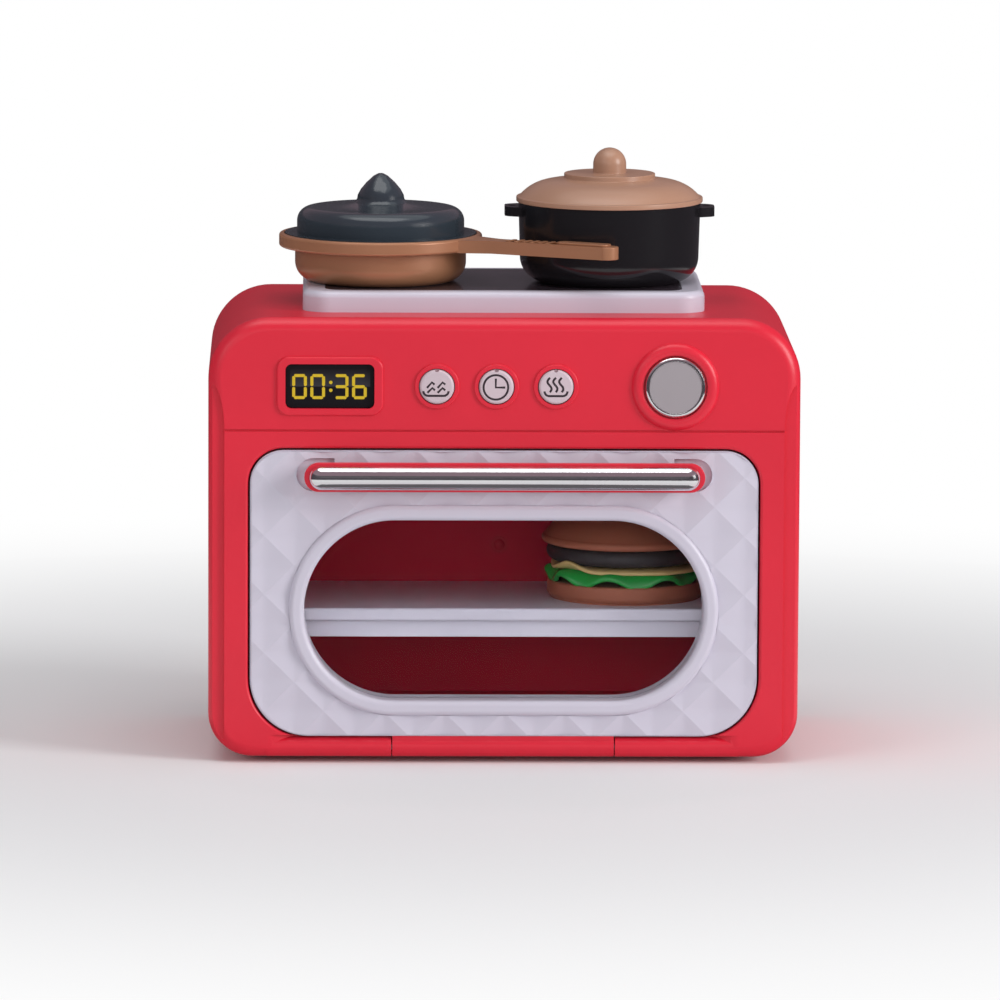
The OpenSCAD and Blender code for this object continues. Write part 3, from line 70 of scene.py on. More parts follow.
# Camera and studio
# A long lens a little above and left of the oven, on a pale floor that runs out to white.
# The main soft box stands low on the right, weaker ones stand above, left and in front, and dark flags
# that only reflections see give the plated parts their bands.
camera = bpy.data.objects.new("camera", bpy.data.cameras.new("camera"))
bpy.context.scene.collection.objects.link(camera)
camera_place = Vector((-0.0669, -3.28475, 0.5405))
camera_aim = Vector((-0.00155, -0.04975, 0.0957))
camera_roll = Quaternion((0, 0, 1), 0.005)
camera.location = camera_place
camera.rotation_mode = "QUATERNION"
camera.rotation_quaternion = (camera_aim - camera_place).to_track_quat("-Z", "Y") @ camera_roll
camera.data.lens = 328.5
camera.data.sensor_width = 36
camera.data.clip_start = 0.1
camera.data.clip_end = 100
bpy.context.scene.camera = camera
bpy.context.scene.view_settings.view_transform = "Standard"


def soft_box(name, place, aim, width, height, watts):
    """A soft rectangular lamp turned towards a point."""
    lamp = bpy.data.lights.new(name, "AREA")
    lamp.shape = "RECTANGLE"
    lamp.size = width
    lamp.size_y = height
    lamp.energy = watts
    box = bpy.data.objects.new(name, lamp)
    bpy.context.scene.collection.objects.link(box)
    box.location = place
    box.rotation_mode = "QUATERNION"
    box.rotation_quaternion = (Vector(aim) - Vector(place)).to_track_quat("-Z", "Y")
    return box


oven_middle = (0, 0, 0.09)
soft_box("box_above", (-0.1, -0.4, 1.9), oven_middle, 1.6, 1.0, 10)
soft_box("box_key", (2.25, -1.25, 0.95), oven_middle, 0.9, 1.2, 42)
soft_box("box_left", (-1.7, -1.8, 1.1), oven_middle, 1.0, 1.2, 7)
soft_box("box_front", (-0.3, -2.6, 0.7), oven_middle, 1.6, 0.3, 4)

world = bpy.data.worlds.new("studio")
bpy.context.scene.world = world
world.use_nodes = True
nodes = world.node_tree.nodes
links = world.node_tree.links
nodes["Background"].inputs["Color"].default_value = (0.96, 0.97, 1.0, 1)
ray = nodes.new("ShaderNodeLightPath")
seen = nodes.new("ShaderNodeMath")
seen.operation = "MAXIMUM"
seen_through = nodes.new("ShaderNodeMath")
seen_through.operation = "MAXIMUM"
sky = nodes.new("ShaderNodeMapRange")
sky.inputs["To Min"].default_value = 0.34
sky.inputs["To Max"].default_value = 1
links.new(ray.outputs["Is Camera Ray"], seen.inputs[0])
links.new(ray.outputs["Is Glossy Ray"], seen.inputs[1])
links.new(seen.outputs[0], seen_through.inputs[0])
links.new(ray.outputs["Is Transmission Ray"], seen_through.inputs[1])
links.new(seen_through.outputs[0], sky.inputs["Value"])
links.new(sky.outputs["Result"], nodes["Background"].inputs["Strength"])


def dark_flag(name, low_radius, high_radius, low, high, colour):
    """A flag round the oven that only reflections see, as a photographer stands one for plated parts."""
    bpy.ops.mesh.primitive_cone_add(
        vertices=96, radius1=low_radius, radius2=high_radius, depth=high - low, end_fill_type="NOTHING",
        location=(0, 0, (low + high) / 2)
    )
    flag = bpy.context.object
    flag.name = name
    flag.visible_camera = False
    flag.visible_diffuse = False
    flag.visible_transmission = False
    flag.visible_shadow = False
    cloth = bpy.data.materials.new(name)
    cloth.use_nodes = True
    cloth.node_tree.nodes["Principled BSDF"].inputs["Base Color"].default_value = (0, 0, 0, 1)
    cloth.node_tree.nodes["Principled BSDF"].inputs["Specular IOR Level"].default_value = 0
    cloth.node_tree.nodes["Principled BSDF"].inputs["Emission Color"].default_value = colour
    cloth.node_tree.nodes["Principled BSDF"].inputs["Emission Strength"].default_value = 1
    flag.data.materials.append(cloth)


dark_flag("flag_ring", 0.5, 0.5, 0, 0.3, (0.07, 0.06, 0.07, 1))
dark_flag("flag_cone", 0.5, 0.3, 0.3, 0.62, (0.26, 0.18, 0.21, 1))
dark_flag("flag_mat", 0.145, 0.01, 0.0004, 0.0005, (0.13, 0.12, 0.13, 1))

bpy.ops.mesh.primitive_circle_add(vertices=96, radius=12, fill_type="NGON", location=(0, 0, 0))
floor = bpy.context.object
floor.name = "floor"
floor_material = bpy.data.materials.new("pale_floor")
floor_material.use_nodes = True
nodes = floor_material.node_tree.nodes
links = floor_material.node_tree.links
floor_shader = nodes["Principled BSDF"]
shadow_reach = 0.16
white_from = 0.62
floor_shader.inputs["Base Color"].default_value = (0.93, 0.93, 0.94, 1)
floor_shader.inputs["Roughness"].default_value = 0.75
glow = nodes.new("ShaderNodeEmission")
glow.inputs["Color"].default_value = (1, 1, 1, 1)
glow.inputs["Strength"].default_value = 1
place = nodes.new("ShaderNodeTexCoord")
reach = nodes.new("ShaderNodeVectorMath")
reach.operation = "LENGTH"
fade = nodes.new("ShaderNodeMapRange")
fade.interpolation_type = "SMOOTHSTEP"
fade.inputs["From Min"].default_value = shadow_reach
fade.inputs["From Max"].default_value = white_from
ray = nodes.new("ShaderNodeLightPath")
seen = nodes.new("ShaderNodeMath")
seen.operation = "MAXIMUM"
seen_through = nodes.new("ShaderNodeMath")
seen_through.operation = "MAXIMUM"
share = nodes.new("ShaderNodeMath")
share.operation = "MULTIPLY"
blend = nodes.new("ShaderNodeMixShader")
links.new(place.outputs["Object"], reach.inputs[0])
links.new(reach.outputs["Value"], fade.inputs["Value"])
links.new(ray.outputs["Is Camera Ray"], seen.inputs[0])
links.new(ray.outputs["Is Glossy Ray"], seen.inputs[1])
links.new(seen.outputs[0], seen_through.inputs[0])
links.new(ray.outputs["Is Transmission Ray"], seen_through.inputs[1])
links.new(seen_through.outputs[0], share.inputs[0])
links.new(fade.outputs["Result"], share.inputs[1])
links.new(share.outputs[0], blend.inputs["Fac"])
links.new(floor_shader.outputs["BSDF"], blend.inputs[1])
links.new(glow.outputs["Emission"], blend.inputs[2])
links.new(blend.outputs["Shader"], nodes["Material Output"].inputs["Surface"])
floor.data.materials.append(floor_material)

# Front of the housing
# One red injection-moulded tub with the fascia and the frame round the door, its edges rounded.
# The satin surface shows a fine tool grain.


def moulded(name, colour, roughness, grain=0.012, grain_size=0.5, drift=0.03, **sockets):
    """A moulded plastic whose colour drifts slightly and whose gloss is broken by a fine grain."""
    material = bpy.data.materials.new(name)
    material.use_nodes = True
    nodes = material.node_tree.nodes
    links = material.node_tree.links
    shader = nodes["Principled BSDF"]
    for socket, value in sockets.items():
        shader.inputs[socket.replace("_", " ").title().replace("Ior", "IOR")].default_value = value
    place = nodes.new("ShaderNodeTexCoord")
    cloud = nodes.new("ShaderNodeTexNoise")
    cloud.inputs["Scale"].default_value = 22
    cloud.inputs["Detail"].default_value = 3
    tint = nodes.new("ShaderNodeValToRGB")
    tint.color_ramp.elements[0].position = 0.3
    tint.color_ramp.elements[1].position = 0.7
    for stop, share in zip(tint.color_ramp.elements, (1 - drift, 1 + drift)):
        stop.color = [min(1, channel * share) for channel in colour] + [1]
    speckle = nodes.new("ShaderNodeTexNoise")
    speckle.inputs["Scale"].default_value = 1 / (grain_size * mm)
    speckle.inputs["Detail"].default_value = 4
    gloss = nodes.new("ShaderNodeMapRange")
    gloss.inputs["To Min"].default_value = roughness * 0.85
    gloss.inputs["To Max"].default_value = roughness * 1.15
    relief = nodes.new("ShaderNodeBump")
    relief.inputs["Distance"].default_value = grain * mm
    relief.inputs["Strength"].default_value = 1
    links.new(place.outputs["Object"], cloud.inputs["Vector"])
    links.new(place.outputs["Object"], speckle.inputs["Vector"])
    links.new(cloud.outputs["Fac"], tint.inputs["Fac"])
    links.new(tint.outputs["Color"], shader.inputs["Base Color"])
    links.new(speckle.outputs["Fac"], gloss.inputs["Value"])
    links.new(gloss.outputs["Result"], shader.inputs["Roughness"])
    links.new(speckle.outputs["Fac"], relief.inputs["Height"])
    links.new(relief.outputs["Normal"], shader.inputs["Normal"])
    return material


def merged_copy(node, name):
    """A copy of a CAD node's mesh with its triangles merged, ready to be finished."""
    piece = bpy.data.objects.new(name, frame["nodes"][node].data.copy())
    bpy.context.scene.collection.objects.link(piece)
    piece.data.materials.clear()
    bpy.ops.object.select_all(action="DESELECT")
    piece.select_set(True)
    bpy.context.view_layer.objects.active = piece
    bpy.ops.object.mode_set(mode="EDIT")
    bpy.ops.mesh.select_all(action="SELECT")
    bpy.ops.mesh.remove_doubles(threshold=0.002 * mm)
    bpy.ops.mesh.dissolve_limited(angle_limit=math.radians(0.4))
    bpy.ops.mesh.select_all(action="DESELECT")
    bpy.ops.object.mode_set(mode="OBJECT")
    return piece


smooth_angle = math.radians(46)


def soften(piece, width, angle=32, segments=2):
    """Rounds the piece's sharp edges a little and smooths its curved faces."""
    bevel = piece.modifiers.new("edges", "BEVEL")
    bevel.width = width * mm
    bevel.segments = segments
    bevel.limit_method = "ANGLE"
    bevel.angle_limit = math.radians(angle)
    bevel.use_clamp_overlap = True
    bpy.ops.object.modifier_apply(modifier="edges")
    bpy.ops.object.shade_smooth_by_angle(angle=smooth_angle)
    weights = piece.modifiers.new("flats", "WEIGHTED_NORMAL")
    weights.keep_sharp = True
    bpy.ops.object.modifier_apply(modifier="flats")


def fitted(piece, material, body, slot, *nodes):
    """Gives the finished piece its material, its body and the CAD nodes it stands for; the slot argument is not
    used.
    """
    piece.data.materials.append(material)
    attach(piece, body)
    if nodes:
        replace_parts(piece, *nodes)
    return piece


red = moulded("red_housing", (0.74, 0.014, 0.038), 0.36)
front = merged_copy("front_shell", "housing_front")
soften(front, 0.3)
fitted(front, red, "housing", "red_housing", "front_shell")

# Back of the housing
# The red rear shell with screw wells, grille and switch slot, and its battery cover.
rear = merged_copy("rear_shell", "housing_back")
soften(rear, 0.25)
fitted(rear, red, "housing", "red_housing", "rear_shell")
cover = merged_copy("battery_cover", "cell_cover")
soften(cover, 0.15)
fitted(cover, red, "housing", "red_housing", "battery_cover")

# Oven cavity
# A deeper red five-sided moulding behind the door, with a small dim lamp window in its back wall.
liner_red = moulded("red_liner", (0.56, 0.004, 0.034), 0.55, specular_ior_level=0.12)
cavity = merged_copy("oven_liner", "cavity")
soften(cavity, 0.2)
fitted(cavity, liner_red, "housing", "red_liner", "oven_liner")

lamp_wine = moulded("lamp_amber", (0.50, 0.010, 0.035), 0.4, grain=0.0, specular_ior_level=0.15)
lamp_dome = merged_copy("lamp_lens", "lamp_window")
soften(lamp_dome, 0.1)
fitted(lamp_dome, lamp_wine, "housing", "lamp_amber", "lamp_lens")

# Shelf
# A white moulding with a rounded front lip and an apron set back below it.
white = moulded("white_plastic", (0.62, 0.585, 0.68), 0.32, grain=0.006, drift=0.015)
shelf = merged_copy("shelf", "oven_shelf")
soften(shelf, 0.15)
fitted(shelf, white, "housing", "white_plastic", "shelf")

# Hob
# A white plinth with a dark glossy inset that has grooved burner rings.
plinth = merged_copy("hob_plate", "hob_plinth")
soften(plinth, 0.2)
fitted(plinth, white, "housing", "white_plastic", "hob_plate")
dark_glass = moulded("dark_glass", (0.075, 0.055, 0.070), 0.16, grain=0.003, coat_weight=0.4)
inset = merged_copy("hob_top", "hob_inset")
soften(inset, 0.12)
fitted(inset, dark_glass, "housing", "dark_glass", "hob_top")

# Display
# A smoked window in a raised bezel with yellow digits on it, and a painted reflection in the window's colour: a
# grey sheen band, lightest at its sharp lower edge.
# Each digit is made of raised six-sided bars, all copies of one bar.
lens_glass = moulded("lens_clear", (0.010, 0.008, 0.011), 0.25, grain=0.002, specular_ior_level=0.25)
# Painted sheen: inside this box the window's colour is mixed towards grey as a reflection band, fully at the
# lower edge and less upwards.
painted_sheen_low = 136.4 * mm
painted_sheen_high = 142.6 * mm
painted_sheen_left = -76.7 * mm
painted_sheen_right = -48.1 * mm
nodes = lens_glass.node_tree.nodes
links = lens_glass.node_tree.links
lens_place = nodes.new("ShaderNodeSeparateXYZ")
links.new(nodes["Texture Coordinate"].outputs["Object"], lens_place.inputs["Vector"])
painted_sheen_fade = nodes.new("ShaderNodeMapRange")
painted_sheen_fade.inputs["From Min"].default_value = painted_sheen_low
painted_sheen_fade.inputs["From Max"].default_value = painted_sheen_high
painted_sheen_fade.inputs["To Min"].default_value = 1
painted_sheen_fade.inputs["To Max"].default_value = 0.1
links.new(lens_place.outputs["Z"], painted_sheen_fade.inputs["Value"])
painted_sheen_share = painted_sheen_fade.outputs["Result"]
for axis, comparison, edge in (
    ("Z", "GREATER_THAN", painted_sheen_low),
    ("Z", "LESS_THAN", painted_sheen_high),
    ("X", "GREATER_THAN", painted_sheen_left),
    ("X", "LESS_THAN", painted_sheen_right),
):
    side = nodes.new("ShaderNodeMath")
    side.operation = comparison
    side.inputs[1].default_value = edge
    links.new(lens_place.outputs[axis], side.inputs[0])
    kept = nodes.new("ShaderNodeMath")
    kept.operation = "MULTIPLY"
    links.new(painted_sheen_share, kept.inputs[0])
    links.new(side.outputs[0], kept.inputs[1])
    painted_sheen_share = kept.outputs[0]
painted_sheen_mix = nodes.new("ShaderNodeMix")
painted_sheen_mix.data_type = "RGBA"
painted_sheen_mix.inputs["B"].default_value = (0.042, 0.040, 0.048, 1)
links.new(painted_sheen_share, painted_sheen_mix.inputs["Factor"])
links.new(nodes["Color Ramp"].outputs["Color"], painted_sheen_mix.inputs["A"])
links.new(painted_sheen_mix.outputs["Result"], nodes["Principled BSDF"].inputs["Base Color"])
lens = merged_copy("display_lens", "display_window")
soften(lens, 0.15)
fitted(lens, lens_glass, "housing", "lens_clear", "display_lens")

bar_width = 1.08 * mm
bar_proud = 0.05 * mm
digit_width = 5.25 * mm
digit_height = 9.0 * mm
flat_length = 4.0 * mm
upright_length = 3.75 * mm
display_height = 136.4 * mm
digit_lefts = {-76.0 * mm: "0", -69.5 * mm: "0", -61.15 * mm: "3", -54.6 * mm: "6"}
bars_of = {"0": "top low left_up left_low right_up right_low", "3": "top middle low right_up right_low",
           "6": "top middle low left_up left_low right_low"}
side_step = (digit_width - bar_width) / 2
level_step = (digit_height - bar_width) / 2
bar_places = {
    "top": (0, level_step, False),
    "middle": (0, 0, False),
    "low": (0, -level_step, False),
    "left_up": (-side_step, level_step / 2, True),
    "left_low": (-side_step, -level_step / 2, True),
    "right_up": (side_step, level_step / 2, True),
    "right_low": (side_step, -level_step / 2, True),
}


def lit_bar(name, length):
    """A thin six-sided bar that faces the front, with its corners taken off."""
    point = bar_width / math.sqrt(3)
    bpy.ops.object.select_all(action="DESELECT")
    bpy.ops.mesh.primitive_circle_add(vertices=6, radius=point, fill_type="NGON", rotation=(math.pi / 2, 0, 0))
    bar = bpy.context.object
    bar.name = name
    bpy.ops.object.transform_apply(rotation=True)
    turned = abs(max(v.co.x for v in bar.data.vertices)) < point * 0.99
    for vertex in bar.data.vertices:
        if turned:
            vertex.co.x, vertex.co.z = vertex.co.z, -vertex.co.x
        if abs(vertex.co.x) > 0.1 * point:
            vertex.co.x += math.copysign(length / 2 - point, vertex.co.x)
    bpy.ops.object.mode_set(mode="EDIT")
    bpy.ops.mesh.select_all(action="SELECT")
    bpy.ops.mesh.bevel(offset=0.16 * mm, segments=2, affect="VERTICES")
    bpy.ops.mesh.select_all(action="SELECT")
    bpy.ops.mesh.extrude_region_move(TRANSFORM_OT_translate={"value": (0, -bar_proud, 0)})
    bpy.ops.mesh.select_all(action="SELECT")
    bpy.ops.mesh.normals_make_consistent(inside=False)
    bpy.ops.object.mode_set(mode="OBJECT")
    return bar


def copied(master, name, turn, place):
    """A copy with its own mesh, turned in the plane of the fascia and moved to its place."""
    twin = bpy.data.objects.new(name, master.data.copy())
    bpy.context.scene.collection.objects.link(twin)
    twin.data.transform(Matrix.Translation(Vector(place)) @ Matrix.Rotation(turn, 4, "Y"))
    return twin


def joined(parts, name):
    """Several meshes as one piece."""
    bpy.ops.object.select_all(action="DESELECT")
    for part in parts:
        part.select_set(True)
    bpy.context.view_layer.objects.active = parts[0]
    if len(parts) > 1:
        bpy.ops.object.join()
    parts[0].name = name
    return parts[0]


lens_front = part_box("display_lens")[0].y
flat_bar = lit_bar("flat_bar", flat_length)
upright_bar = lit_bar("upright_bar", upright_length)
bars = []
for left, figure in digit_lefts.items():
    for bar_name in bars_of[figure].split():
        across, up, upright = bar_places[bar_name]
        master = upright_bar if upright else flat_bar
        spot = (left + digit_width / 2 + across, lens_front, display_height + up)
        bars.append(copied(master, "bar", math.pi / 2 if upright else 0, spot))
for dot_height in (137.9 * mm, 135.1 * mm):
    bpy.ops.object.select_all(action="DESELECT")
    bpy.ops.mesh.primitive_cylinder_add(
        vertices=24, radius=0.62 * mm, depth=2 * bar_proud, rotation=(math.pi / 2, 0, 0),
        location=(-62.2 * mm, lens_front, dot_height)
    )
    bpy.ops.object.transform_apply(location=True, rotation=True)
    bars.append(bpy.context.object)
for master in (flat_bar, upright_bar):
    bpy.data.objects.remove(master)
digits = joined(bars, "display_digits")
digit_yellow = moulded("digit_yellow", (0.66, 0.46, 0.006), 0.5, grain=0.0)
fitted(digits, digit_yellow, "housing", "lens_clear")

# Push buttons
# Three round grey-pink caps, each with a dark pictogram printed on its flat face:
# a tray of food, a clock and a steaming tray. A print is a thin flattened stroke.
button_grey = moulded("button_plastic", (0.62, 0.50, 0.545), 0.4, grain=0.006)
print_dark = moulded("pictogram_print", (0.030, 0.016, 0.024), 0.5, grain=0.0)
stroke = 0.80
print_flatness = 0.12


def printed_stroke(points, width=stroke):
    """A thin printed line through the points, given in millimetres across and up from the cap's middle."""
    path = bpy.data.curves.new("stroke", "CURVE")
    path.dimensions = "3D"
    path.bevel_depth = width / 2 * mm
    path.bevel_resolution = 2
    path.use_fill_caps = True
    line = path.splines.new("POLY")
    line.points.add(len(points) - 1)
    for point, (across, up) in zip(line.points, points):
        point.co = (across * mm, 0, up * mm, 1)
    piece = bpy.data.objects.new("stroke", path)
    bpy.context.scene.collection.objects.link(piece)
    bpy.ops.object.select_all(action="DESELECT")
    piece.select_set(True)
    bpy.context.view_layer.objects.active = piece
    bpy.ops.object.convert(target="MESH")
    piece = bpy.context.object
    piece.data.transform(Matrix.Scale(print_flatness, 4, (0, 1, 0)))
    return piece


def tray(middle, half):
    """A dish in side view: a flat base with its ends curled up."""
    curl = 1.7
    right = []
    for step in range(9):
        turn = math.radians(-90 + 11.25 * step)
        right.append((half - curl + curl * math.cos(turn), -1.5 + curl * math.sin(turn)))
    left = [(-across, up) for across, up in reversed(right)]
    return printed_stroke([(middle + across, up) for across, up in left + right])


def peak(across, up, rise):
    """A small hill with a long left slope and a short right one."""
    return printed_stroke([(across, up), (across + 1.75, up + rise), (across + 2.7, up + rise - 0.8)])


def steam(across):
    """A wavy line that rises from a dish."""
    wave = []
    for step in range(25):
        share = step / 24
        wave.append((across + 0.85 * math.sin(2 * math.pi * (share + 0.03)) * (0.75 + 0.25 * share),
                     -1.8 + 5.2 * share))
    return printed_stroke(wave)


def clock():
    """A ring with two hands at three o'clock."""
    rim = []
    for step in range(73):
        turn = math.radians(5 * step)
        rim.append((-0.25 + 4.4 * math.cos(turn), -0.1 + 4.4 * math.sin(turn)))
    return [printed_stroke(rim, 0.76), printed_stroke([(-0.27, 3.05), (-0.27, -0.15), (3.1, -0.15)])]


pictograms = {
    1: [tray(-0.35, 4.5), peak(-3.55, -0.35, 2.0), peak(0.25, -0.35, 2.0), peak(-3.4, -2.1, 1.7),
        peak(0.25, -2.1, 1.7)],
    2: clock(),
    3: [tray(-0.05, 4.1), steam(-2.35), steam(-0.25), steam(1.85)],
}
for number, body in ((1, "left_button"), (2, "middle_button"), (3, "right_button")):
    cap = merged_copy(f"button_{number}", f"button_cap_{number}")
    soften(cap, 0.15)
    fitted(cap, button_grey, body, "button_plastic", f"button_{number}")
    low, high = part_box(f"button_{number}")
    mark = joined(pictograms[number], f"pictogram_{number}")
    mark.data.transform(Matrix.Translation(((low.x + high.x) / 2, low.y, (low.z + high.z) / 2)))
    fitted(mark, print_dark, body, "button_plastic")

# Knob
# A plated body with a satin grey face pressed into its rim.
chrome = moulded("chrome_trim", (0.80, 0.80, 0.81), 0.12, grain=0.002, metallic=1.0)
knob = merged_copy("knob_body", "knob_rim")
soften(knob, 0.15)
fitted(knob, chrome, "knob", "chrome_trim", "knob_body")
knob_grey = moulded("knob_grey", (0.36, 0.32, 0.34), 0.42, grain=0.004)
knob_disc = merged_copy("knob_face", "knob_disc")
soften(knob_disc, 0.1)
fitted(knob_disc, knob_grey, "knob", "knob_grey", "knob_face")

# Door
# The white quilted panel with its window ring, an inner plate and the red hinge piece.
# The quilt's diamonds are sunken between raised diagonal lines, so their relief is a sheet of its own
# that stands on the levelled face.
quilt_low = -48.95 * mm
quilt_high = -49.85 * mm
quilt_depth = 1.3 * mm
quilt_bed = quilt_low + 0.7 * mm
quilt_root = quilt_low + 0.9 * mm
quilt_across = 10.75 * mm
quilt_up = 10.6 * mm
quilt_start = 61.4 * mm
quilt_crease = 5
close = 0.01 * mm


def quilt_facets(mesh):
    """The sloped faces of the door's quilted field."""
    facets = set()
    for face in mesh.faces:
        within = all(quilt_high - close < vertex.co.y < quilt_low + close for vertex in face.verts)
        if within and -0.999 < face.normal.y < -0.97:
            facets.add(face)
    return facets


def quilt_share(spot):
    """How deep the quilt lies at a spot: 0 on a raised diagonal line, nearly 1 in a diamond's middle."""
    across = spot.x / quilt_across
    up = (spot.z - quilt_start) / quilt_up
    rising = 1 - abs((across + up) % 2 - 1)
    falling = 1 - abs((across - up) % 2 - 1)
    if min(rising, falling) < 0.001:
        return 0
    return (rising ** -quilt_crease + falling ** -quilt_crease) ** (-1 / quilt_crease)


quilt = merged_copy("door_panel", "door_quilt")
relief = bmesh.new()
relief.from_mesh(quilt.data)
field = quilt_facets(relief)
bmesh.ops.delete(relief, geom=[face for face in relief.faces if face not in field], context="FACES")
bmesh.ops.triangulate(relief, faces=relief.faces)
bmesh.ops.subdivide_edges(relief, edges=relief.edges, cuts=5, use_grid_fill=True)
for vertex in relief.verts:
    vertex.co.y = quilt_high + quilt_depth * quilt_share(vertex.co)
for edge in relief.edges:
    edge.smooth = edge.is_boundary or any(quilt_share(vertex.co) > 0 for vertex in edge.verts)
rim = [edge for edge in relief.edges if edge.is_boundary]
for item in bmesh.ops.extrude_edge_only(relief, edges=rim)["geom"]:
    if isinstance(item, bmesh.types.BMVert):
        item.co.y = quilt_root
relief.to_mesh(quilt.data)
relief.free()
bpy.ops.mesh.customdata_custom_splitnormals_clear()
bpy.ops.object.shade_smooth_by_angle(angle=smooth_angle)

panel = merged_copy("door_panel", "door_face")
soften(panel, 0.2)
levelled = bmesh.new()
levelled.from_mesh(panel.data)
for vertex in {vertex for face in quilt_facets(levelled) for vertex in face.verts}:
    if vertex.co.y < quilt_low - close:
        vertex.co.y = quilt_bed
levelled.to_mesh(panel.data)
levelled.free()
panel = joined([panel, quilt], "door_face")
fitted(panel, white, "door", "white_plastic", "door_panel")
door_back = merged_copy("door_liner", "door_back")
soften(door_back, 0.2)
fitted(door_back, white, "door", "white_plastic", "door_liner")
knuckle = merged_copy("door_hinge", "door_knuckle")
soften(knuckle, 0.2)
fitted(knuckle, red, "door", "red_housing", "door_hinge")

# Window
# A clear flat pane behind the ring.
pane_clear = moulded("window_clear", (0.96, 0.97, 0.98), 0.04, grain=0.0, transmission_weight=1.0, ior=1.12)
pane = merged_copy("window_pane", "oven_window")
soften(pane, 0.1)
fitted(pane, pane_clear, "door", "window_clear", "window_pane")

# Handle
# A red backing bar on two posts, with a half-round chrome-plated bar in front.
bar = merged_copy("handle_bar", "handle_back")
soften(bar, 0.3)
fitted(bar, red, "door", "red_housing", "handle_bar")
trim = merged_copy("handle_trim", "handle_chrome")
soften(trim, 0.15)
fitted(trim, chrome, "door", "chrome_trim", "handle_trim")

# Frying pan
# A satin bronze pan with a long flat handle and a dark slate lid.
bronze = moulded("pan_bronze", (0.42, 0.19, 0.10), 0.34, grain=0.006, metallic=0.25)
pan = merged_copy("frying_pan", "pan_body")
pan_low, pan_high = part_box("frying_pan")
pan_radius = 36.8 * mm
pan_middle = Vector((pan_low.x + pan_radius, pan_high.y - pan_radius, 0))
handle_turn = math.radians(-28)
handle_top = pan_high.z - 0.3 * mm
handle_thick = 4.6 * mm
handle_round = 1.5 * mm
along_handle = Vector((math.cos(handle_turn), math.sin(handle_turn), 0))
round_from = 85 * mm
steep = 1.2
hang_hole = pan_middle + along_handle * 88.6 * mm
hang_reach = 2.5 * mm
pan_mesh = bmesh.new()
pan_mesh.from_mesh(pan.data)
for edge in pan_mesh.edges:
    far = all((vertex.co - pan_middle).dot(along_handle) > round_from for vertex in edge.verts)
    rim = all(min(abs(vertex.co.z - handle_top), abs(vertex.co.z - handle_top + handle_thick)) < 0.01 * mm
              for vertex in edge.verts)
    outer = len(edge.link_faces) == 2 and edge.calc_face_angle(0) > steep
    inner = any((vertex.co - hang_hole).xy.length < hang_reach for vertex in edge.verts)
    edge.select = far and rim and outer and not inner
pan_mesh.select_flush(True)
pan_mesh.to_mesh(pan.data)
pan_mesh.free()
bpy.ops.object.mode_set(mode="EDIT")
bpy.ops.mesh.select_mode(type="EDGE")
bpy.ops.mesh.bevel(offset=handle_round, segments=4, affect="EDGES", clamp_overlap=True)
bpy.ops.mesh.select_mode(type="VERT")
bpy.ops.object.mode_set(mode="OBJECT")
soften(pan, 0.3)


def handle_pad(name, start, end, width, proud, round_off):
    """A raised pad on the handle between two distances from the pan's middle."""
    bpy.ops.object.select_all(action="DESELECT")
    bpy.ops.mesh.primitive_plane_add(size=1)
    pad = bpy.context.object
    pad.name = name
    pad.data.transform(Matrix.Diagonal(((end - start) * mm, width * mm, 1, 1)))
    bpy.ops.object.mode_set(mode="EDIT")
    bpy.ops.mesh.select_all(action="SELECT")
    bpy.ops.mesh.bevel(offset=round_off * mm, segments=5, affect="VERTICES")
    bpy.ops.mesh.select_all(action="SELECT")
    bpy.ops.mesh.extrude_region_move(TRANSFORM_OT_translate={"value": (0, 0, proud * mm)})
    bpy.ops.mesh.select_all(action="SELECT")
    bpy.ops.mesh.normals_make_consistent(inside=False)
    bpy.ops.object.mode_set(mode="OBJECT")
    soften(pad, 0.2)
    place = Matrix.Translation(pan_middle + Vector((0, 0, handle_top)))
    slide = Matrix.Translation(((start + end) / 2 * mm, 0, 0))
    pad.data.transform(place @ Matrix.Rotation(handle_turn, 4, "Z") @ slide)
    return pad


thumb_pad = handle_pad("thumb_pad", 72, 92.5, 5.6, 0.8, 2.2)
rib_start = 52.4
rib_pitch = 3.1
rib_wide = 1.6
grip_ribs = []
for rib in range(6):
    start = rib_start + rib_pitch * rib
    grip_ribs.append(handle_pad("grip_rib", start, start + rib_wide, 6.4, 0.35, 0.3))
pan = joined([pan, thumb_pad] + grip_ribs, "pan_body")
fitted(pan, bronze, "frying_pan", "pan_bronze", "frying_pan")
slate = moulded("lid_slate", (0.032, 0.042, 0.054), 0.16, grain=0.003)
pan_cover = merged_copy("pan_lid", "pan_cover")
soften(pan_cover, 0.3)
fitted(pan_cover, slate, "pan_lid", "lid_slate", "pan_lid")

# Stock pot
# A glossy black pot with two ears and a tan domed lid.
pot_black = moulded("pot_black", (0.012, 0.011, 0.013), 0.18, grain=0.003)
pot = merged_copy("stock_pot", "pot_body")
soften(pot, 0.25)
fitted(pot, pot_black, "stock_pot", "pot_black", "stock_pot")
tan = moulded("lid_tan", (0.46, 0.25, 0.165), 0.32, grain=0.006)
pot_cover = merged_copy("pot_lid", "pot_cover")
soften(pot_cover, 0.3)
fitted(pot_cover, tan, "pot_lid", "lid_tan", "pot_lid")

# Play burger
# Five loose plastic layers: two buns, a thick frilled leaf, a cheese slice with a curled corner and a patty.
bun_brown = moulded("bun", (0.34, 0.10, 0.055), 0.5, grain=0.03, specular_ior_level=0.3)
for node in ("bun_bottom", "bun_top"):
    half = merged_copy(node, f"burger_{node}")
    soften(half, 0.3)
    fitted(half, bun_brown, node, "bun", node)
burger_low, burger_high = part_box("bun_top")
burger_middle = Vector(((burger_low.x + burger_high.x) / 2, (burger_low.y + burger_high.y) / 2, 0))


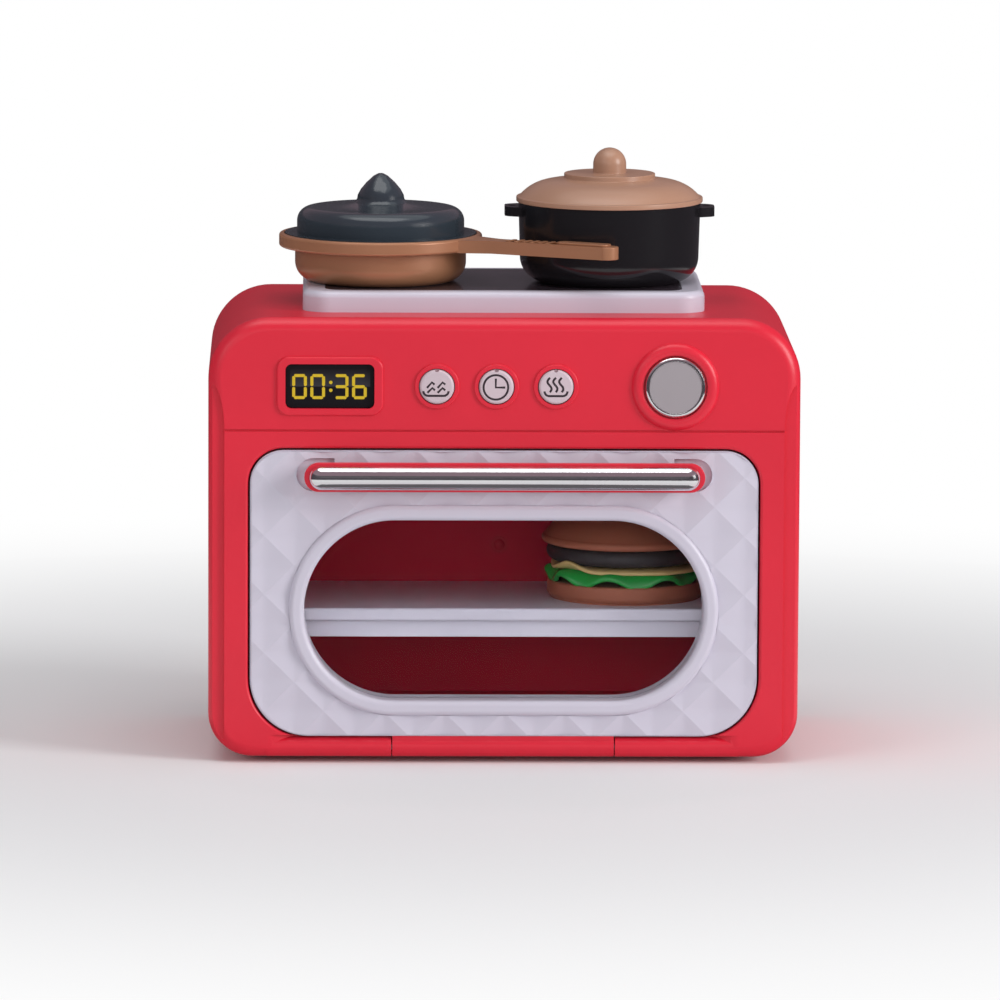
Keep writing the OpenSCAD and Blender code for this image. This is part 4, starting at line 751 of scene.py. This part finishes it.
def round_sheet(name, rings, sides):
    """A flat disc made of rings one millimetre wide, before it is shaped."""
    bpy.ops.object.select_all(action="DESELECT")
    bpy.ops.mesh.primitive_circle_add(vertices=sides, radius=rings * mm, fill_type="NGON")
    sheet = bpy.context.object
    sheet.name = name
    bpy.ops.object.mode_set(mode="EDIT")
    bpy.ops.mesh.select_all(action="SELECT")
    for ring in range(rings - 1):
        bpy.ops.mesh.inset(thickness=mm, depth=0)
    bpy.ops.mesh.delete(type="ONLY_FACE")
    bpy.ops.mesh.select_mode(type="EDGE")
    bpy.ops.mesh.select_all(action="DESELECT")
    bpy.ops.object.mode_set(mode="OBJECT")
    for edge in sheet.data.edges:
        edge.select = all(sheet.data.vertices[end].co.length < 1.01 * mm for end in edge.vertices)
    bpy.ops.object.mode_set(mode="EDIT")
    bpy.ops.mesh.fill_grid(span=sides // 4)
    bpy.ops.mesh.select_all(action="SELECT")
    bpy.ops.mesh.normals_make_consistent(inside=False)
    bpy.ops.mesh.select_mode(type="VERT")
    bpy.ops.object.mode_set(mode="OBJECT")
    return sheet


def thickened(sheet, thickness):
    """Gives a shaped sheet its thickness and rounds it over."""
    wall = sheet.modifiers.new("wall", "SOLIDIFY")
    wall.thickness = thickness * mm
    wall.offset = 0
    bpy.ops.object.modifier_apply(modifier="wall")
    smooth = sheet.modifiers.new("smooth", "SUBSURF")
    smooth.levels = 1
    smooth.render_levels = 1
    bpy.ops.object.modifier_apply(modifier="smooth")
    bpy.ops.object.shade_smooth()


leaf_green = moulded("lettuce_green", (0.012, 0.30, 0.045), 0.25, grain=0.01)
leaf_rings = 14
leaf = round_sheet("burger_leaf", leaf_rings, 180)
leaf_reach = 30.6
leaf_height = 64.2
frill_waves = 9
frill_from = 0.84
for vertex in leaf.data.vertices:
    share = vertex.co.xy.length / (leaf_rings * mm)
    turn = math.atan2(vertex.co.y, vertex.co.x)
    frill = max(0, (share - frill_from) / (1 - frill_from))
    wave = math.sin(frill_waves * turn + 0.5 * math.sin(2 * turn) - 1.1)
    reach = leaf_reach * share * (0.965 + 0.035 * frill * wave) - 1.0 * frill * frill
    drop = 3.6 * frill ** 1.5 - 2.2 * frill * wave
    vertex.co = Vector((reach * math.cos(turn), reach * math.sin(turn), leaf_height - drop)) * mm + burger_middle
thickened(leaf, 2.3)
fitted(leaf, leaf_green, "lettuce", "lettuce_green", "lettuce")

cheese_yellow = moulded("cheese_yellow", (0.60, 0.42, 0.17), 0.35, grain=0.006)
slice_rings = 12
slice_piece = round_sheet("burger_cheese", slice_rings, 144)
slice_half = 27.2
slice_height = 65.7
slice_limit = 29.6
squareness = 3.2
curl_from = 0.86
curled_corner = math.radians(222)
for vertex in slice_piece.data.vertices:
    share = vertex.co.xy.length / (slice_rings * mm)
    turn = math.atan2(vertex.co.y, vertex.co.x)
    across = abs(math.cos(turn)) ** squareness + abs(math.sin(turn)) ** squareness
    reach = min(slice_half * across ** (-1 / squareness), slice_limit)
    aside = math.atan2(math.sin(turn - curled_corner), math.cos(turn - curled_corner))
    edge = max(0, (share - curl_from) / (1 - curl_from))
    curl = 2.9 * edge * math.exp(-((aside / 0.22) ** 2))
    sag = 0.9 * edge * (1 - math.exp(-((aside / 0.35) ** 2)))
    vertex.co = Vector((
        reach * share * math.cos(turn), reach * share * math.sin(turn), slice_height + curl - sag
    )) * mm + burger_middle
thickened(slice_piece, 1.7)
fitted(slice_piece, cheese_yellow, "cheese", "cheese_yellow", "cheese")

patty_brown = moulded("patty_brown", (0.022, 0.014, 0.017), 0.6, grain=0.25, grain_size=2.2)
meat = merged_copy("patty", "burger_patty")
soften(meat, 0.3)
fitted(meat, patty_brown, "patty", "patty_brown", "patty")

# Feet, fasteners and inner parts
# Rubber feet, plain steel screws, the circuit board, cells and switches inside the housing.
finishes = {
    "rubber_foot": moulded("rubber_foot", (0.02, 0.02, 0.021), 0.8, grain=0.02),
    "black_plastic": moulded("black_plastic", (0.022, 0.022, 0.025), 0.4),
    "board_green": moulded("board_green", (0.015, 0.14, 0.045), 0.35),
    "steel": moulded("steel", (0.60, 0.61, 0.63), 0.28, grain=0.004, metallic=1.0),
    "lamp_amber": lamp_wine,
    "cell_jacket": moulded("cell_jacket", (0.05, 0.06, 0.08), 0.3),
    "wire_red": moulded("wire_red", (0.55, 0.02, 0.02), 0.45),
    "white_plastic": white,
    "lens_clear": lens_glass,
    "dark_glass": dark_glass,
}
replaced = {name for piece in bpy.data.objects for name in piece.get("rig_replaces", [])}
slot_of = {}
for row in frame["record"]["subparts"]:
    slot_of[row["node"]] = row["material_slot"]
for name, node in frame["nodes"].items():
    if name not in replaced:
        node.data.materials.clear()
        node.data.materials.append(finishes.get(slot_of.get(name), finishes["black_plastic"]))
